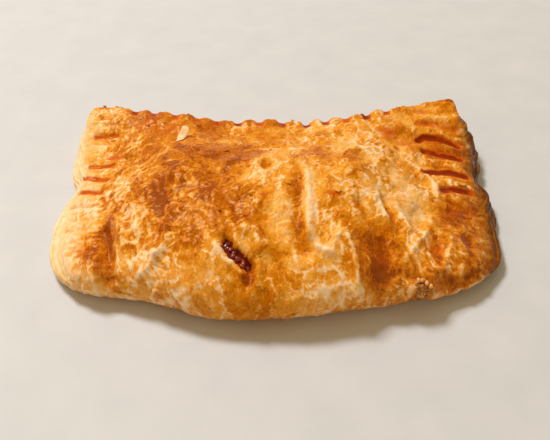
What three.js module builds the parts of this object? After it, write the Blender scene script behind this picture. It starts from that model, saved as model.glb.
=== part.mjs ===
import * as THREE from 'three';

// A folded puff pastry pie: smooth rolled fold at the front, pressed edges on the other three sides.
// Millimetres, +X to the right, +Y to the back, +Z up, resting on its flat baked base.

// Heights
const CROWN_HEIGHT = 26;
const EDGE_HEIGHT = 12.5;
const ROLL_DROP = 6.5;

// Plan of the top, measured to the line where the top turns down into the sides
const LEFT_EDGE = -67.4;
const RIGHT_EDGE = 68.7;
const BACK_EDGE = 44;
const ROLL_EDGE = -39.6;
const LEFT_EAR_REACH = 2.9;
const RIGHT_EAR_REACH = 5.3;
const RIGHT_FRONT_INSET = 3.4;
const BACK_EAR_REACH = 7.5;
const ROLL_END_INSET = 8.2;
const FRONT_CORNER_POWER = 7.7;
const BACK_CORNER_POWER = 40;

// The back edge is lowest here, as a share of the half width, and climbs to both ears
const BACK_LOW = 0.1;
const LEFT_EAR_LIFT = 5.6;
const RIGHT_EAR_LIFT = 7.3;
const EAR_LIFT_DEPTH = 22;
const EAR_CLIMB_POWER = 1.5;

// Between the ears the back edge stands this share of the way up to the crown, and is drawn in by this much
const BACK_EDGE_SHARE = 0.35;
const BACK_DRAW = 7.2;

// The rolled fold is fullest near the middle
const ROLL_FULL = { place: -0.1, leftSpread: 0.42, rightSpread: 0.78, power: 2.4 };

// Width of the pressed band inside each edge, and of the slope that climbs from it to the crown
const LEFT_BAND = 3;
const RIGHT_BAND = 7;
const LEFT_SLOPE = 38;
const RIGHT_SLOPE = 40;
const BACK_SLOPE = 42;
const ROLL_SLOPE = 32;

// The shoulders droop towards the left and right edges, more so at the front
const SHOULDER = { width: 13, back: 1, left: 3, right: 4 };

// How far the sides swell past the top's edge, how far their feet stand out, and the pinch at mid side
const SWELL = { left: 5.9, right: 8.9, leftBack: 4.2, rightBack: 8.2, back: 3.1, roll: 11.7, rollEnds: 8.1 };
const FOOT = { left: 5.7, right: 3.4, back: 1.9, roll: 1.9 };
const WAIST = { depth: 3.2, place: 0.07, spread: 0.14 };

// The side swell grows towards the front from its place, and dies away towards the ears from its own
const FRONT_GROWTH = { place: 0.25, spread: 0.7 };
const EAR_DECAY = { place: 0.55, spread: 0.45 };
const BACK_SWELL_POWER = 6;

// The sides set off at the slope that the top has at its edge, up to this one
const STEEPEST = 0.8;

// Pressed marks as [inwards from the edge, y] along each, with half width and depth
const LEFT_MARKS = [
  { path: [[1.5, 36.2], [9.9, 35.3]], width: 1.1, depth: 0.6 },
  { path: [[7.1, 23.5], [12.2, 22.3]], width: 1.4, depth: 0.6 },
  { path: [[-0.3, 20.3], [8.1, 18.1]], width: 1.1, depth: 0.7 },
  { path: [[-2.7, 14.4], [1, 12.9], [7.1, 10]], width: 1.2, depth: 0.7 },
  { path: [[-2.7, 6.7], [1.5, 5.1], [6.5, 2.8]], width: 1.1, depth: 0.7 },
  { path: [[-3.7, -0.7], [0, -2.1], [4, -3.5]], width: 1.1, depth: 0.45 },
  { path: [[-3.4, -7.5], [1, -9.5], [4, -10.8]], width: 1.1, depth: 0.45 },
  { path: [[-3.7, -13], [1.8, -15.7], [4, -16.6]], width: 1.1, depth: 0.45 },
];
const RIGHT_MARKS = [
  { path: [[16.5, 44], [12.4, 43.7]], width: 1.3, depth: 0.7 },
  { path: [[15.8, 37.3], [9.4, 37.7], [1, 36.1], [-1, 35.8]], width: 1.1, depth: 0.7 },
  { path: [[14.9, 28.6], [12.4, 30.9], [6.7, 30.8], [0, 28.2], [-1.5, 27.6]], width: 1.2, depth: 0.8 },
  { path: [[12.7, 22.4], [10.7, 22.8], [6.6, 21.6], [0.5, 20.2], [-1.5, 19.8]], width: 1.2, depth: 0.8 },
  { path: [[14.6, 7.8], [11.6, 9.6], [4.5, 10.6], [-1.5, 9.9]], width: 1.2, depth: 0.8 },
  { path: [[9, -0.8], [5.5, 0.6], [-1.7, 1.6]], width: 1.2, depth: 0.7 },
  { path: [[9.6, -12], [5.5, -9.6], [-1.7, -8.8]], width: 1.8, depth: 0.8 },
];
const MARK_FADE = 3;

// Marks that notch the back edge, each a little out of its place and as deep as it happens to be
const BACK_MARKS = {
  first: -53.6,
  pitch: 8.3,
  count: 13,
  stray: 1.6,
  length: 3,
  wrap: 6,
  width: 1.6,
  least: 0.3,
  most: 0.75,
  strayDraw: 5,
  depthDraw: 4,
};

// Between the marks the pressed edge puffs up to lobes
const LOBE = { rise: 0.35, start: 1.4, spread: 2.2, leftReach: 8, rightReach: 13 };

// Folds, creases and the tear in the skin: [x, y, z] along each, half width, rise (below zero for a groove)
const FOLDS = [
  { path: [[-16.5, -33.5, 21.5], [-14.3, -36.9, 20.5], [-9.4, -41.5, 18.7]], width: 2.1, rise: -2.2 },
  { path: [[-19.5, -35, 21], [-15, -40, 19.5], [-11.5, -44, 17.5]], width: 1.6, rise: 0.8 },
  { path: [[-10.5, -30, 23], [-7.5, -31, 22.5], [-6.5, -37, 20.5]], width: 2.2, rise: 1.5 },
  { path: [[-9, -42.5, 18.3], [-9.5, -47, 16]], width: 1.8, rise: -1.2 },
  { path: [[-6.5, -41, 19], [-7, -45, 17], [-8.5, -49, 14.5]], width: 1.5, rise: 1.1 },
  { path: [[7.2, -5, 26], [6.6, -20, 25], [6, -33, 22], [7.5, -37.5, 20.5]], width: 2.4, rise: -1.1 },
  { path: [[10, -8, 26], [9.6, -22, 24.5], [8.8, -33, 21.5]], width: 1.8, rise: 0.95 },
  { path: [[8.8, -33, 21.5], [11, -36.8, 20.3], [15.7, -39.2, 19.2]], width: 1.5, rise: 0.8 },
  { path: [[15.5, -38.5, 19.5], [17, -34, 21], [19.5, -32, 21.5]], width: 1.6, rise: 0.75 },
  { path: [[21, -34, 21], [22.5, -38, 19], [23, -43.5, 16.5], [22.5, -48.5, 12]], width: 1.6, rise: 1.1 },
  { path: [[33.5, -28.5, 19], [31, -40, 16.5], [30, -47, 11.5]], width: 3, rise: -1.1 },
  { path: [[35.5, -15, 21], [36.5, -21, 19.5], [38.5, -27.5, 17.5]], width: 1.7, rise: -1.1 },
  { path: [[29.5, -8.5, 24.5], [32, -14, 23], [34.5, -23, 20]], width: 2.2, rise: 0.95 },
  { path: [[38.5, -13.5, 20.5], [40, -19, 19], [41.5, -26, 16.5]], width: 1.8, rise: 0.8 },
  { path: [[26.5, -20.5, 23.5], [29, -27, 21]], width: 1.8, rise: -0.8 },
  {
    path: [[40, 16, 19.5], [46, 12.5, 17], [52, 10, 14.5], [56, 3.5, 13.5], [56, -5, 13]],
    width: 1.7,
    rise: 0.75,
  },
  { path: [[19, 14, 24.5], [25, 9, 26], [32, 11.5, 23.5], [40, 16, 19.5]], width: 1.8, rise: 0.6 },
  { path: [[51.5, -26, 13.5], [50.5, -34, 13]], width: 1.8, rise: -1.1 },
  {
    path: [[56, -23.5, 12.5], [55.5, -30, 12.5], [52.5, -35.5, 12.5], [50, -39.5, 11.5]],
    width: 1.6,
    rise: 0.8,
  },
  { path: [[63.5, -22.5, 10], [63, -29, 10], [60, -35.5, 10.5]], width: 1.8, rise: -0.8 },
  { path: [[51, -19.5, 13.5], [46.5, -27, 14.5], [42, -33, 15.3], [38, -39, 15]], width: 1.9, rise: 0.8 },
  {
    path: [[-54.5, -11.5, 14.5], [-51.5, -17.5, 15.5], [-49.5, -25, 16], [-47.5, -29.5, 16]],
    width: 1.7,
    rise: 1.1,
  },
  { path: [[-47, -12, 18], [-45, -20, 18], [-43.5, -27, 18]], width: 1.5, rise: 0.8 },
  { path: [[-42.5, -16, 20], [-41, -25, 19], [-40, -30, 18.5], [-38, -35, 17.5]], width: 1.5, rise: 0.95 },
  {
    path: [[-35, -30.5, 20], [-36.5, -34.5, 18], [-39.5, -37.5, 16.5], [-42, -39.5, 14]],
    width: 1.6,
    rise: 1.1,
  },
  { path: [[-40, -3, 22], [-37, -16, 22.5]], width: 2.4, rise: -1.1 },
  {
    path: [[-57, -18, 13.5], [-55, -24, 14], [-53.5, -32.5, 13.5], [-53, -38.5, 10.5]],
    width: 2.2,
    rise: -2.3,
  },
  { path: [[-63.5, -18, 11], [-63, -23.5, 11], [-60.5, -31, 12]], width: 1.5, rise: -0.7 },
  { path: [[40.5, -45, 10], [43.5, -44, 9.5], [46.5, -43.5, 9.5]], width: 2.6, rise: 1.9 },
  { path: [[40.5, -45.5, 5], [45.5, -44.5, 5.5]], width: 2, rise: -0.8 },
  {
    path: [[39.5, -43, 12.5], [49.5, -42.5, 9], [57, -40.5, 8.5], [63.5, -37, 7.5]],
    width: 1.5,
    rise: -0.8,
  },
  { path: [[48, -43.5, 5], [56, -41.5, 5.5], [64.5, -38, 5.5]], width: 2.6, rise: 0.75 },
];

// Heights count this much in the distance to a fold
const FOLD_HEIGHT_SHARE = 0.6;

// Broad swells and hollows of the skin
const MOUNDS = [
  { middle: [-25, -6.5, 26], radius: 17, rise: -1.4 },
  { middle: [3, -12.5, 26], radius: 12, rise: 0.8 },
  { middle: [-60.5, -32.5, 11.5], radius: 7, rise: 1.5 },
  { middle: [43, -32.5, 15], radius: 6, rise: 0.9 },
];

// The round pricked dimple with its puffed ring
const DIMPLE = { middle: [-3.1, -2.4, 26], radius: 3.6, ring: 1.1, ringWidth: 1.6, pitRadius: 2.2, depth: 1.6 };

// Blisters under the skin, over this much of the square co-ordinates
const BLISTER_COUNT = 90;
const BLISTER_PLACES = { left: -0.86, right: 0.86, front: -0.95, back: 0.8 };
const BLISTER_RADIUS = { least: 2.8, most: 7 };
const BLISTER_RISE = { least: 0.35, most: 1.15 };
const BLISTER_DRAWS = { across: 1, along: 2, size: 3 };

// Slow swells of the whole skin, finer ripples, and leaves of dough that show at the cut sides
const LUMP = { size: 17, rise: 0.8, seed: 11 };
const RIPPLE = { size: 6.5, rise: 0.4, seed: 23 };
const LEAF = { pitch: 4.2, rise: 0.45, wander: 2, size: 14, seed: 31 };

// Facets across the top, front to back, and down the sides
const FACETS_WIDE = 72;
const FACETS_DEEP = 45;
const FACETS_DOWN = 9;

// The relief dies away over the lowest rows, so that the base stays flat
const FADE_ROWS = 3;
const CORNER_SMOOTHING_PASSES = 4;

// Middle of the finished outline, which is moved to the origin
const OUTLINE_MIDDLE = { x: 2.153, y: 0.481 };

// The random numbers are the far digits of a steep wave
const WAVE = { turns: [127.1, 311.7, 74.7], height: 43758.5453 };

const clamp = (value, low = 0, high = 1) => Math.min(Math.max(value, low), high);

const ease = (value) => {
  const t = clamp(value);
  return t * t * (3 - 2 * t);
};

const mix = (a, b, share) => a + (b - a) * share;

const hump = (value) => Math.exp(-value * value);

const scatter = (i, j, k) => {
  const wave = Math.sin(i * WAVE.turns[0] + j * WAVE.turns[1] + k * WAVE.turns[2]) * WAVE.height;
  return wave - Math.floor(wave);
};

// Smooth random field between -1 and 1, with features of the given size
const field = (point, { size, seed }) => {
  const cell = point.map((value) => Math.floor(value / size));
  const share = point.map((value, axis) => ease(value / size - cell[axis]));
  let sum = 0;
  for (let corner = 0; corner < 8; corner += 1) {
    const step = [corner & 1, (corner >> 1) & 1, corner >> 2];
    const weight = step.reduce((w, s, axis) => w * (s ? share[axis] : 1 - share[axis]), 1);
    sum += weight * scatter(cell[0] + step[0] + seed, cell[1] + step[1], cell[2] + step[2]);
  }
  return 2 * sum - 1;
};

const distanceBetween = (a, b) => Math.hypot(a[0] - b[0], a[1] - b[1], a[2] - b[2]);

const distanceToPath = (point, path) => {
  let best = Infinity;
  for (let i = 0; i + 1 < path.length; i += 1) {
    const along = path[i + 1].map((value, axis) => value - path[i][axis]);
    const to = point.map((value, axis) => value - path[i][axis]);
    const length2 = along.reduce((sum, value) => sum + value * value, 0);
    const share = clamp(to.reduce((sum, value, axis) => sum + value * along[axis], 0) / length2);
    best = Math.min(best, Math.hypot(...to.map((value, axis) => value - share * along[axis])));
  }
  return best;
};

// Fullness of the rolled fold across the width, 1 at its fullest
const rollFullness = (u) => {
  const spread = u < ROLL_FULL.place ? ROLL_FULL.leftSpread : ROLL_FULL.rightSpread;
  return Math.exp(-(Math.abs((u - ROLL_FULL.place) / spread) ** ROLL_FULL.power));
};

// Climb of the back edge from its low point to the left and right ears
const earClimb = (u) => ({
  left: clamp((BACK_LOW - u) / (1 + BACK_LOW)) ** EAR_CLIMB_POWER,
  right: clamp((u - BACK_LOW) / (1 - BACK_LOW)) ** EAR_CLIMB_POWER,
});

const frontGrowth = (v) => ease((FRONT_GROWTH.place - v) / FRONT_GROWTH.spread);

// Rise from the pressed bands at the left and right to the full height between them
const riseAcross = (x, left, right) => (
  ease((x - left - LEFT_BAND) / LEFT_SLOPE) * ease((right - x - RIGHT_BAND) / RIGHT_SLOPE)
);

// Edges of the top at square co-ordinates u (left to right) and v (front to back), both -1 to 1
const edgesAt = (u, v) => {
  const toBack = ease(v) ** EAR_CLIMB_POWER;
  const climb = earClimb(u);
  const left = LEFT_EDGE - LEFT_EAR_REACH * toBack;
  const right = RIGHT_EDGE + RIGHT_EAR_REACH * toBack - RIGHT_FRONT_INSET * ease(-v);
  const across = riseAcross(mix(left, right, (u + 1) / 2), left, right);
  return {
    left,
    right,
    back: BACK_EDGE + BACK_EAR_REACH * (climb.left + climb.right) - BACK_DRAW * across,
    roll: ROLL_EDGE + ROLL_END_INSET * (1 - rollFullness(u)),
  };
};

const droop = (frontDroop, growth, inwards) => (
  mix(SHOULDER.back, frontDroop, growth) * clamp(1 - inwards / SHOULDER.width) ** 2
);

const heightAt = (x, y, u, v) => {
  const edges = edgesAt(u, v);
  const toBack = edges.back - y;
  const backRise = mix(BACK_EDGE_SHARE, 1, ease(toBack / BACK_SLOPE));
  const across = riseAcross(x, edges.left, edges.right);
  const climb = earClimb(u);
  const lift = LEFT_EAR_LIFT * climb.left + RIGHT_EAR_LIFT * climb.right;
  return EDGE_HEIGHT
    + (CROWN_HEIGHT - EDGE_HEIGHT) * across * backRise
    - ROLL_DROP * across * clamp(1 - (y - edges.roll) / ROLL_SLOPE) ** 2
    - droop(SHOULDER.left, frontGrowth(v), x - edges.left)
    - droop(SHOULDER.right, frontGrowth(v), edges.right - x)
    + lift * (1 - ease(toBack / EAR_LIFT_DEPTH));
};

// A point of the top; the square's front corners are drawn in to round ones
const topPoint = (u, v) => {
  const power = v < 0 ? FRONT_CORNER_POWER : BACK_CORNER_POWER;
  const most = Math.max(Math.abs(u), Math.abs(v));
  const norm = (Math.abs(u) ** power + Math.abs(v) ** power) ** (1 / power);
  const share = most > 0 ? most / norm : 1;
  const a = u * share;
  const b = v * share;
  const edges = edgesAt(a, b);
  const x = mix(edges.left, edges.right, (a + 1) / 2);
  const y = mix(edges.roll, edges.back, (b + 1) / 2);
  return { x, y, z: heightAt(x, y, a, b), u: a, v: b };
};

// The border of the top, counter-clockwise from the front left corner, as grid places
const borderPlaces = () => {
  const places = [];
  for (let i = 0; i < FACETS_WIDE; i += 1) places.push([i, 0]);
  for (let j = 0; j < FACETS_DEEP; j += 1) places.push([FACETS_WIDE, j]);
  for (let i = FACETS_WIDE; i > 0; i -= 1) places.push([i, FACETS_DEEP]);
  for (let j = FACETS_DEEP; j > 0; j -= 1) places.push([0, j]);
  return places;
};

// Outward directions in plan along a closed line of points, evened out round the corners
const outwardDirections = (line) => {
  const count = line.length;
  let directions = line.map((_, i) => {
    const before = line[(i + count - 1) % count];
    const after = line[(i + 1) % count];
    const length = Math.hypot(after.x - before.x, after.y - before.y);
    return [(after.y - before.y) / length, (before.x - after.x) / length];
  });
  for (let pass = 0; pass < CORNER_SMOOTHING_PASSES; pass += 1) {
    directions = directions.map((own, i) => {
      const before = directions[(i + count - 1) % count];
      const after = directions[(i + 1) % count];
      return [(before[0] + own[0] + after[0]) / 3, (before[1] + own[1] + after[1]) / 3];
    });
  }
  return directions.map(([a, b]) => [a / Math.hypot(a, b), b / Math.hypot(a, b)]);
};

// How far the side swells out past a border point, and how far its foot stands out
const swellAt = (point, direction) => {
  const rollShare = clamp(-direction[1]) ** 2;
  const backShare = clamp(direction[1]) ** 2;
  const sideShare = 1 - rollShare - backShare;
  const toFront = frontGrowth(point.v);
  const earEnd = 1 - ease((point.v - EAR_DECAY.place) / EAR_DECAY.spread);
  const backEnd = 1 - Math.abs(point.u) ** BACK_SWELL_POWER;
  const waist = WAIST.depth * hump((point.v - WAIST.place) / WAIST.spread);
  const sideSwell = point.u < 0
    ? mix(SWELL.leftBack, SWELL.left, toFront)
    : mix(SWELL.rightBack, SWELL.right, toFront);
  return {
    bulge: sideShare * (sideSwell - waist) * earEnd
      + backShare * SWELL.back * backEnd
      + rollShare * mix(SWELL.rollEnds, SWELL.roll, rollFullness(point.u)),
    foot: sideShare * (point.u < 0 ? FOOT.left : FOOT.right)
      + backShare * FOOT.back
      + rollShare * FOOT.roll,
    cut: 1 - rollShare,
  };
};

// Rise of the strokes pressed into the left or right band, with lobes between them
const sideMarks = (y, inwards, strokes, reach) => {
  const distances = strokes.map((stroke) => distanceToPath([inwards, y], stroke.path));
  const depth = Math.max(...strokes.map((stroke, i) => stroke.depth * hump(distances[i] / stroke.width)));
  const ends = strokes.map((stroke) => stroke.path[stroke.path.length - 1][1]);
  const onBand = ease((reach - inwards) / MARK_FADE)
    * ease((inwards + MARK_FADE) / MARK_FADE)
    * ease((y - Math.min(...ends)) / MARK_FADE)
    * ease((Math.max(...ends) - y) / MARK_FADE);
  return LOBE.rise * ease((Math.min(...distances) - LOBE.start) / LOBE.spread) * onBand - depth;
};

// Rise of the short marks that notch the back edge
const backMarks = (x, inwards) => {
  const step = clamp(Math.round((x - BACK_MARKS.first) / BACK_MARKS.pitch), 0, BACK_MARKS.count - 1);
  const stray = BACK_MARKS.stray * (scatter(step, BACK_MARKS.strayDraw, 0) - 0.5);
  const off = Math.abs(x - BACK_MARKS.first - BACK_MARKS.pitch * step - stray);
  const reach = ease((BACK_MARKS.length - inwards) / MARK_FADE + 0.5)
    * ease((BACK_MARKS.wrap + inwards) / MARK_FADE + 0.5);
  const depth = mix(BACK_MARKS.least, BACK_MARKS.most, scatter(step, BACK_MARKS.depthDraw, 0));
  const lobe = off < BACK_MARKS.pitch ? LOBE.rise * ease((off - LOBE.start) / LOBE.spread) : 0;
  return reach * (lobe - depth * hump((off / BACK_MARKS.width) ** 2));
};

const marks = (place) => sideMarks(place.y, place.fromLeft, LEFT_MARKS, LOBE.leftReach)
  + sideMarks(place.y, place.fromRight, RIGHT_MARKS, LOBE.rightReach)
  + backMarks(place.x, place.fromBack);

const flattened = ([x, y, z]) => [x, y, z * FOLD_HEIGHT_SHARE];

const folds = (point) => FOLDS.reduce(
  (sum, fold) => {
    const distance = distanceToPath(flattened(point), fold.path.map(flattened));
    return sum + fold.rise * hump(distance / fold.width);
  },
  0,
);

const mounds = (point) => MOUNDS.reduce((sum, mound) => {
  const distance = distanceBetween(point, mound.middle);
  return sum + mound.rise * hump(distance / mound.radius);
}, 0);

const dimple = (point) => {
  const distance = distanceBetween(point, DIMPLE.middle);
  return DIMPLE.ring * hump((distance - DIMPLE.radius) / DIMPLE.ringWidth)
    - DIMPLE.depth * hump(distance / DIMPLE.pitRadius);
};

// Middles and sizes of the blisters, spread over the top and the front of the roll
const blisters = Array.from({ length: BLISTER_COUNT }, (_, i) => {
  const u = mix(BLISTER_PLACES.left, BLISTER_PLACES.right, scatter(i, BLISTER_DRAWS.across, 0));
  const v = mix(BLISTER_PLACES.front, BLISTER_PLACES.back, scatter(i, BLISTER_DRAWS.along, 0));
  const point = topPoint(u, v);
  const size = scatter(i, BLISTER_DRAWS.size, 0) ** 2;
  return {
    middle: [point.x, point.y, point.z],
    radius: mix(BLISTER_RADIUS.least, BLISTER_RADIUS.most, size),
    rise: mix(BLISTER_RISE.least, BLISTER_RISE.most, size),
  };
});

const blistering = (point) => blisters.reduce((sum, blister) => {
  const distance = distanceBetween(point, blister.middle);
  return sum + blister.rise * clamp(1 - (distance / blister.radius) ** 2) ** 2;
}, 0);

const leaves = (point) => {
  const wander = LEAF.wander * field(point, LEAF);
  return LEAF.rise * Math.sin((2 * Math.PI * (point[2] + wander)) / LEAF.pitch);
};

// Rise of the skin over the plain form at one vertex
const relief = (point, place) => {
  const skin = LUMP.rise * field(point, LUMP)
    + RIPPLE.rise * field(point, RIPPLE)
    + folds(point)
    + mounds(point)
    + dimple(point)
    + blistering(point) * (1 - place.cutSide);
  return (skin + marks(place) + leaves(point) * place.cutSide) * place.fade;
};

// Every vertex of the plain form, with what the relief needs to know about its place
const plainForm = () => {
  const vertices = [];
  const grid = [];
  for (let i = 0; i <= FACETS_WIDE; i += 1) {
    grid.push([]);
    for (let j = 0; j <= FACETS_DEEP; j += 1) {
      const point = topPoint(2 * (i / FACETS_WIDE) - 1, 2 * (j / FACETS_DEEP) - 1);
      const edges = edgesAt(point.u, point.v);
      grid[i].push(vertices.length);
      vertices.push({
        ...point,
        fromLeft: point.x - edges.left,
        fromRight: edges.right - point.x,
        fromBack: edges.back - point.y,
        cutSide: 0,
        fade: 1,
      });
    }
  }
  const places = borderPlaces();
  const border = places.map(([i, j]) => grid[i][j]);
  const rim = border.map((index) => vertices[index]);
  const slopes = places.map(([i, j], k) => {
    const inner = vertices[grid[clamp(i, 1, FACETS_WIDE - 1)][clamp(j, 1, FACETS_DEEP - 1)]];
    const run = Math.hypot(inner.x - rim[k].x, inner.y - rim[k].y);
    return clamp((inner.z - rim[k].z) / run, 0, STEEPEST);
  });
  const outward = outwardDirections(rim);
  const rows = [border];
  for (let row = 1; row <= FACETS_DOWN; row += 1) {
    const share = row / FACETS_DOWN;
    const turn = Math.PI * share;
    rows.push(rim.map((top, i) => {
      const swell = swellAt(top, outward[i]);
      const out = swell.bulge * Math.sin(turn) + swell.foot * share;
      const sag = slopes[i] * swell.bulge * Math.sin(turn) * (1 - share) ** 2;
      const z = (top.z * (1 + Math.cos(turn))) / 2 - sag;
      const down = Math.hypot(out, top.z - z);
      vertices.push({
        x: top.x + outward[i][0] * out,
        y: top.y + outward[i][1] * out,
        z,
        fromLeft: top.fromLeft - down,
        fromRight: top.fromRight - down,
        fromBack: top.fromBack - down,
        cutSide: swell.cut * ease(row / FADE_ROWS),
        fade: ease((FACETS_DOWN - row) / FADE_ROWS),
      });
      return vertices.length - 1;
    }));
  }
  const baseMiddle = vertices.length;
  vertices.push({ x: 0, y: 0, z: 0, fromLeft: 0, fromRight: 0, fromBack: 0, cutSide: 0, fade: 0 });
  return { vertices, grid, rows, baseMiddle };
};

const facesOf = ({ grid, rows, baseMiddle }) => {
  const faces = [];
  for (let i = 0; i < FACETS_WIDE; i += 1) {
    for (let j = 0; j < FACETS_DEEP; j += 1) {
      const [a, b, c, d] = [grid[i][j], grid[i + 1][j], grid[i + 1][j + 1], grid[i][j + 1]];
      faces.push(a, b, c, a, c, d);
    }
  }
  for (let row = 0; row < FACETS_DOWN; row += 1) {
    rows[row].forEach((_, i) => {
      const next = (i + 1) % rows[row].length;
      const [a, b, c, d] = [rows[row][i], rows[row][next], rows[row + 1][next], rows[row + 1][i]];
      faces.push(a, d, c, a, c, b);
    });
  }
  const foot = rows[FACETS_DOWN];
  foot.forEach((index, i) => faces.push(baseMiddle, foot[(i + 1) % foot.length], index));
  return faces;
};

const pieGeometry = () => {
  const form = plainForm();
  const geometry = new THREE.BufferGeometry();
  const flat = form.vertices.flatMap(({ x, y, z }) => [x, y, z]);
  geometry.setAttribute('position', new THREE.Float32BufferAttribute(flat, 3));
  geometry.setIndex(facesOf(form));
  geometry.computeVertexNormals();
  const position = geometry.getAttribute('position');
  const normal = geometry.getAttribute('normal');
  form.vertices.forEach((vertex, i) => {
    const rise = relief([vertex.x, vertex.y, vertex.z], vertex);
    position.setXYZ(
      i,
      vertex.x + normal.getX(i) * rise - OUTLINE_MIDDLE.x,
      vertex.y + normal.getY(i) * rise - OUTLINE_MIDDLE.y,
      Math.max(vertex.z + normal.getZ(i) * rise, 0),
    );
  });
  geometry.computeVertexNormals();
  return geometry;
};

const bakedPastry = () => new THREE.MeshStandardMaterial({
  name: 'pastry',
  color: 0xd98a35,
  roughness: 0.42,
  metalness: 0,
});

const pie = new THREE.Mesh(pieGeometry(), bakedPastry());
pie.name = 'pie';

const group = new THREE.Group();
group.add(pie);

export default group;
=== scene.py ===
import math

import bpy
import numpy as np
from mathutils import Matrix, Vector


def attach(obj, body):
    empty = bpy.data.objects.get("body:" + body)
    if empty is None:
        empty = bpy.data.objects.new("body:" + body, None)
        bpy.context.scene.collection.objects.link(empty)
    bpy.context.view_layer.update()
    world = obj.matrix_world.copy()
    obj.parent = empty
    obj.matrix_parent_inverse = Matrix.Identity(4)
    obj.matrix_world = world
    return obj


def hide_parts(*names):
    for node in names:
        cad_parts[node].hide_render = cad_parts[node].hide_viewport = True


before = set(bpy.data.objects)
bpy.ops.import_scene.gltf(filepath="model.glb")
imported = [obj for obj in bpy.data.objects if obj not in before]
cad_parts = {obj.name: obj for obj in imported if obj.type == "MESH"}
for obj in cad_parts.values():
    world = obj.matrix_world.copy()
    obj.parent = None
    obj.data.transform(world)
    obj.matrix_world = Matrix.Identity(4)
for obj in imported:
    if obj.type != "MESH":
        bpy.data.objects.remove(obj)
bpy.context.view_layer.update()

# The form below is worked out in millimetres, and MM brings it to the frame's metres.
MM = 0.001

# Heights of the plain form
CROWN_HEIGHT = 26.0
EDGE_HEIGHT = 12.5
ROLL_DROP = 6.5

# Plan of the top, measured to the line where the top turns down into the sides
LEFT_EDGE = -67.4
RIGHT_EDGE = 68.7
BACK_EDGE = 44.0
ROLL_EDGE = -39.6
LEFT_EAR_REACH = 2.9
RIGHT_EAR_REACH = 5.3
RIGHT_FRONT_INSET = 3.4
BACK_EAR_REACH = 7.5
ROLL_END_INSET = 8.2
FRONT_CORNER_POWER = 7.7
BACK_CORNER_POWER = 40.0

# The back edge is lowest here, as a share of the half width, and climbs to both ears
BACK_LOW = 0.1
LEFT_EAR_LIFT = 5.6
RIGHT_EAR_LIFT = 7.3
EAR_LIFT_DEPTH = 22.0
EAR_CLIMB_POWER = 1.5

# Between the ears the back edge stands this share of the way up to the crown, and is drawn in by this much
BACK_EDGE_SHARE = 0.35
BACK_DRAW = 7.2

# The rolled fold is fullest near the middle
ROLL_FULL = dict(place=-0.1, left_spread=0.42, right_spread=0.78, power=2.4)

# Width of the pressed band inside each edge, and of the slope that climbs from it to the crown
LEFT_BAND = 3.0
RIGHT_BAND = 7.0
LEFT_SLOPE = 38.0
RIGHT_SLOPE = 40.0
BACK_SLOPE = 42.0
ROLL_SLOPE = 32.0

# The shoulders droop towards the left and right edges, more so at the front
SHOULDER = dict(width=13.0, back=1.0, left=3.0, right=4.0)

# How far the sides swell past the top's edge, how far their feet stand out, and the pinch at mid side
SWELL = dict(left=5.9, right=8.9, left_back=4.2, right_back=8.2, back=3.1, roll=11.7, roll_ends=8.1)
FOOT = dict(left=5.7, right=3.4, back=1.9, roll=1.9)
WAIST = dict(depth=3.2, place=0.07, spread=0.14)
FRONT_GROWTH = dict(place=0.25, spread=0.7)
EAR_DECAY = dict(place=0.55, spread=0.45)
BACK_SWELL_POWER = 6

# The sides set off at the slope that the top has at its edge, up to this one
STEEPEST = 0.8

# Pressed marks: half width, depth, how far they are burnt, and [inwards from the edge, y] along each
LEFT_MARKS = [
    (1.1, 0.6, 0.46, [[1.5, 36.2], [9.9, 35.3]]),
    (1.4, 0.6, 0.44, [[7.1, 23.5], [12.2, 22.3]]),
    (1.1, 0.7, 0.54, [[-0.3, 20.3], [8.1, 18.1]]),
    (1.2, 0.7, 0.56, [[-2.7, 14.4], [1, 12.9], [7.1, 10]]),
    (1.1, 0.7, 0.42, [[-2.7, 6.7], [1.5, 5.1], [6.5, 2.8]]),
    (1.1, 0.45, 0.19, [[-3.7, -0.7], [0, -2.1], [4, -3.5]]),
    (1.1, 0.45, 0.16, [[-3.4, -7.5], [1, -9.5], [4, -10.8]]),
    (1.1, 0.45, 0.16, [[-3.7, -13], [1.8, -15.7], [4, -16.6]]),
]
RIGHT_MARKS = [
    (1.3, 0.7, 0.3, [[16.5, 44], [12.4, 43.7]]),
    (1.1, 0.7, 0.36, [[15.8, 37.3], [9.4, 37.7], [1, 36.1], [-1, 35.8]]),
    (1.2, 0.8, 1.0, [[14.9, 28.6], [12.4, 30.9], [6.7, 30.8], [0, 28.2], [-1.5, 27.6]]),
    (1.2, 0.8, 1.0, [[12.7, 22.4], [10.7, 22.8], [6.6, 21.6], [0.5, 20.2], [-1.5, 19.8]]),
    (1.2, 0.8, 1.0, [[14.6, 7.8], [11.6, 9.6], [4.5, 10.6], [-1.5, 9.9]]),
    (1.2, 0.7, 0.9, [[9, -0.8], [5.5, 0.6], [-1.7, 1.6]]),
    (1.8, 0.7, 0.22, [[9.6, -12], [5.5, -9.6], [-1.7, -8.8]]),
]
MARK_FADE = 3.0

# The notches along the back edge, and how far inwards and how strongly they are burnt
BACK_MARKS = dict(
    first=-53.6, pitch=8.3, count=13, stray=1.6, length=3, wrap=6, width=1.6, least=0.5, most=0.95,
)
BACK_BURN = dict(reach=4.4, fade=1.2, least=0.45, most=1.0)

# The burnt stripes of the left and right marks are this much of their grooves' widths
LEFT_BURNT_SHARE = 1.1
RIGHT_BURNT_SHARE = 1.5

# Between the marks the band puffs up to lobes
LOBE = dict(rise=0.35, start=1.4, spread=2.2, left_reach=8.0, right_reach=13.0)

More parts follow.
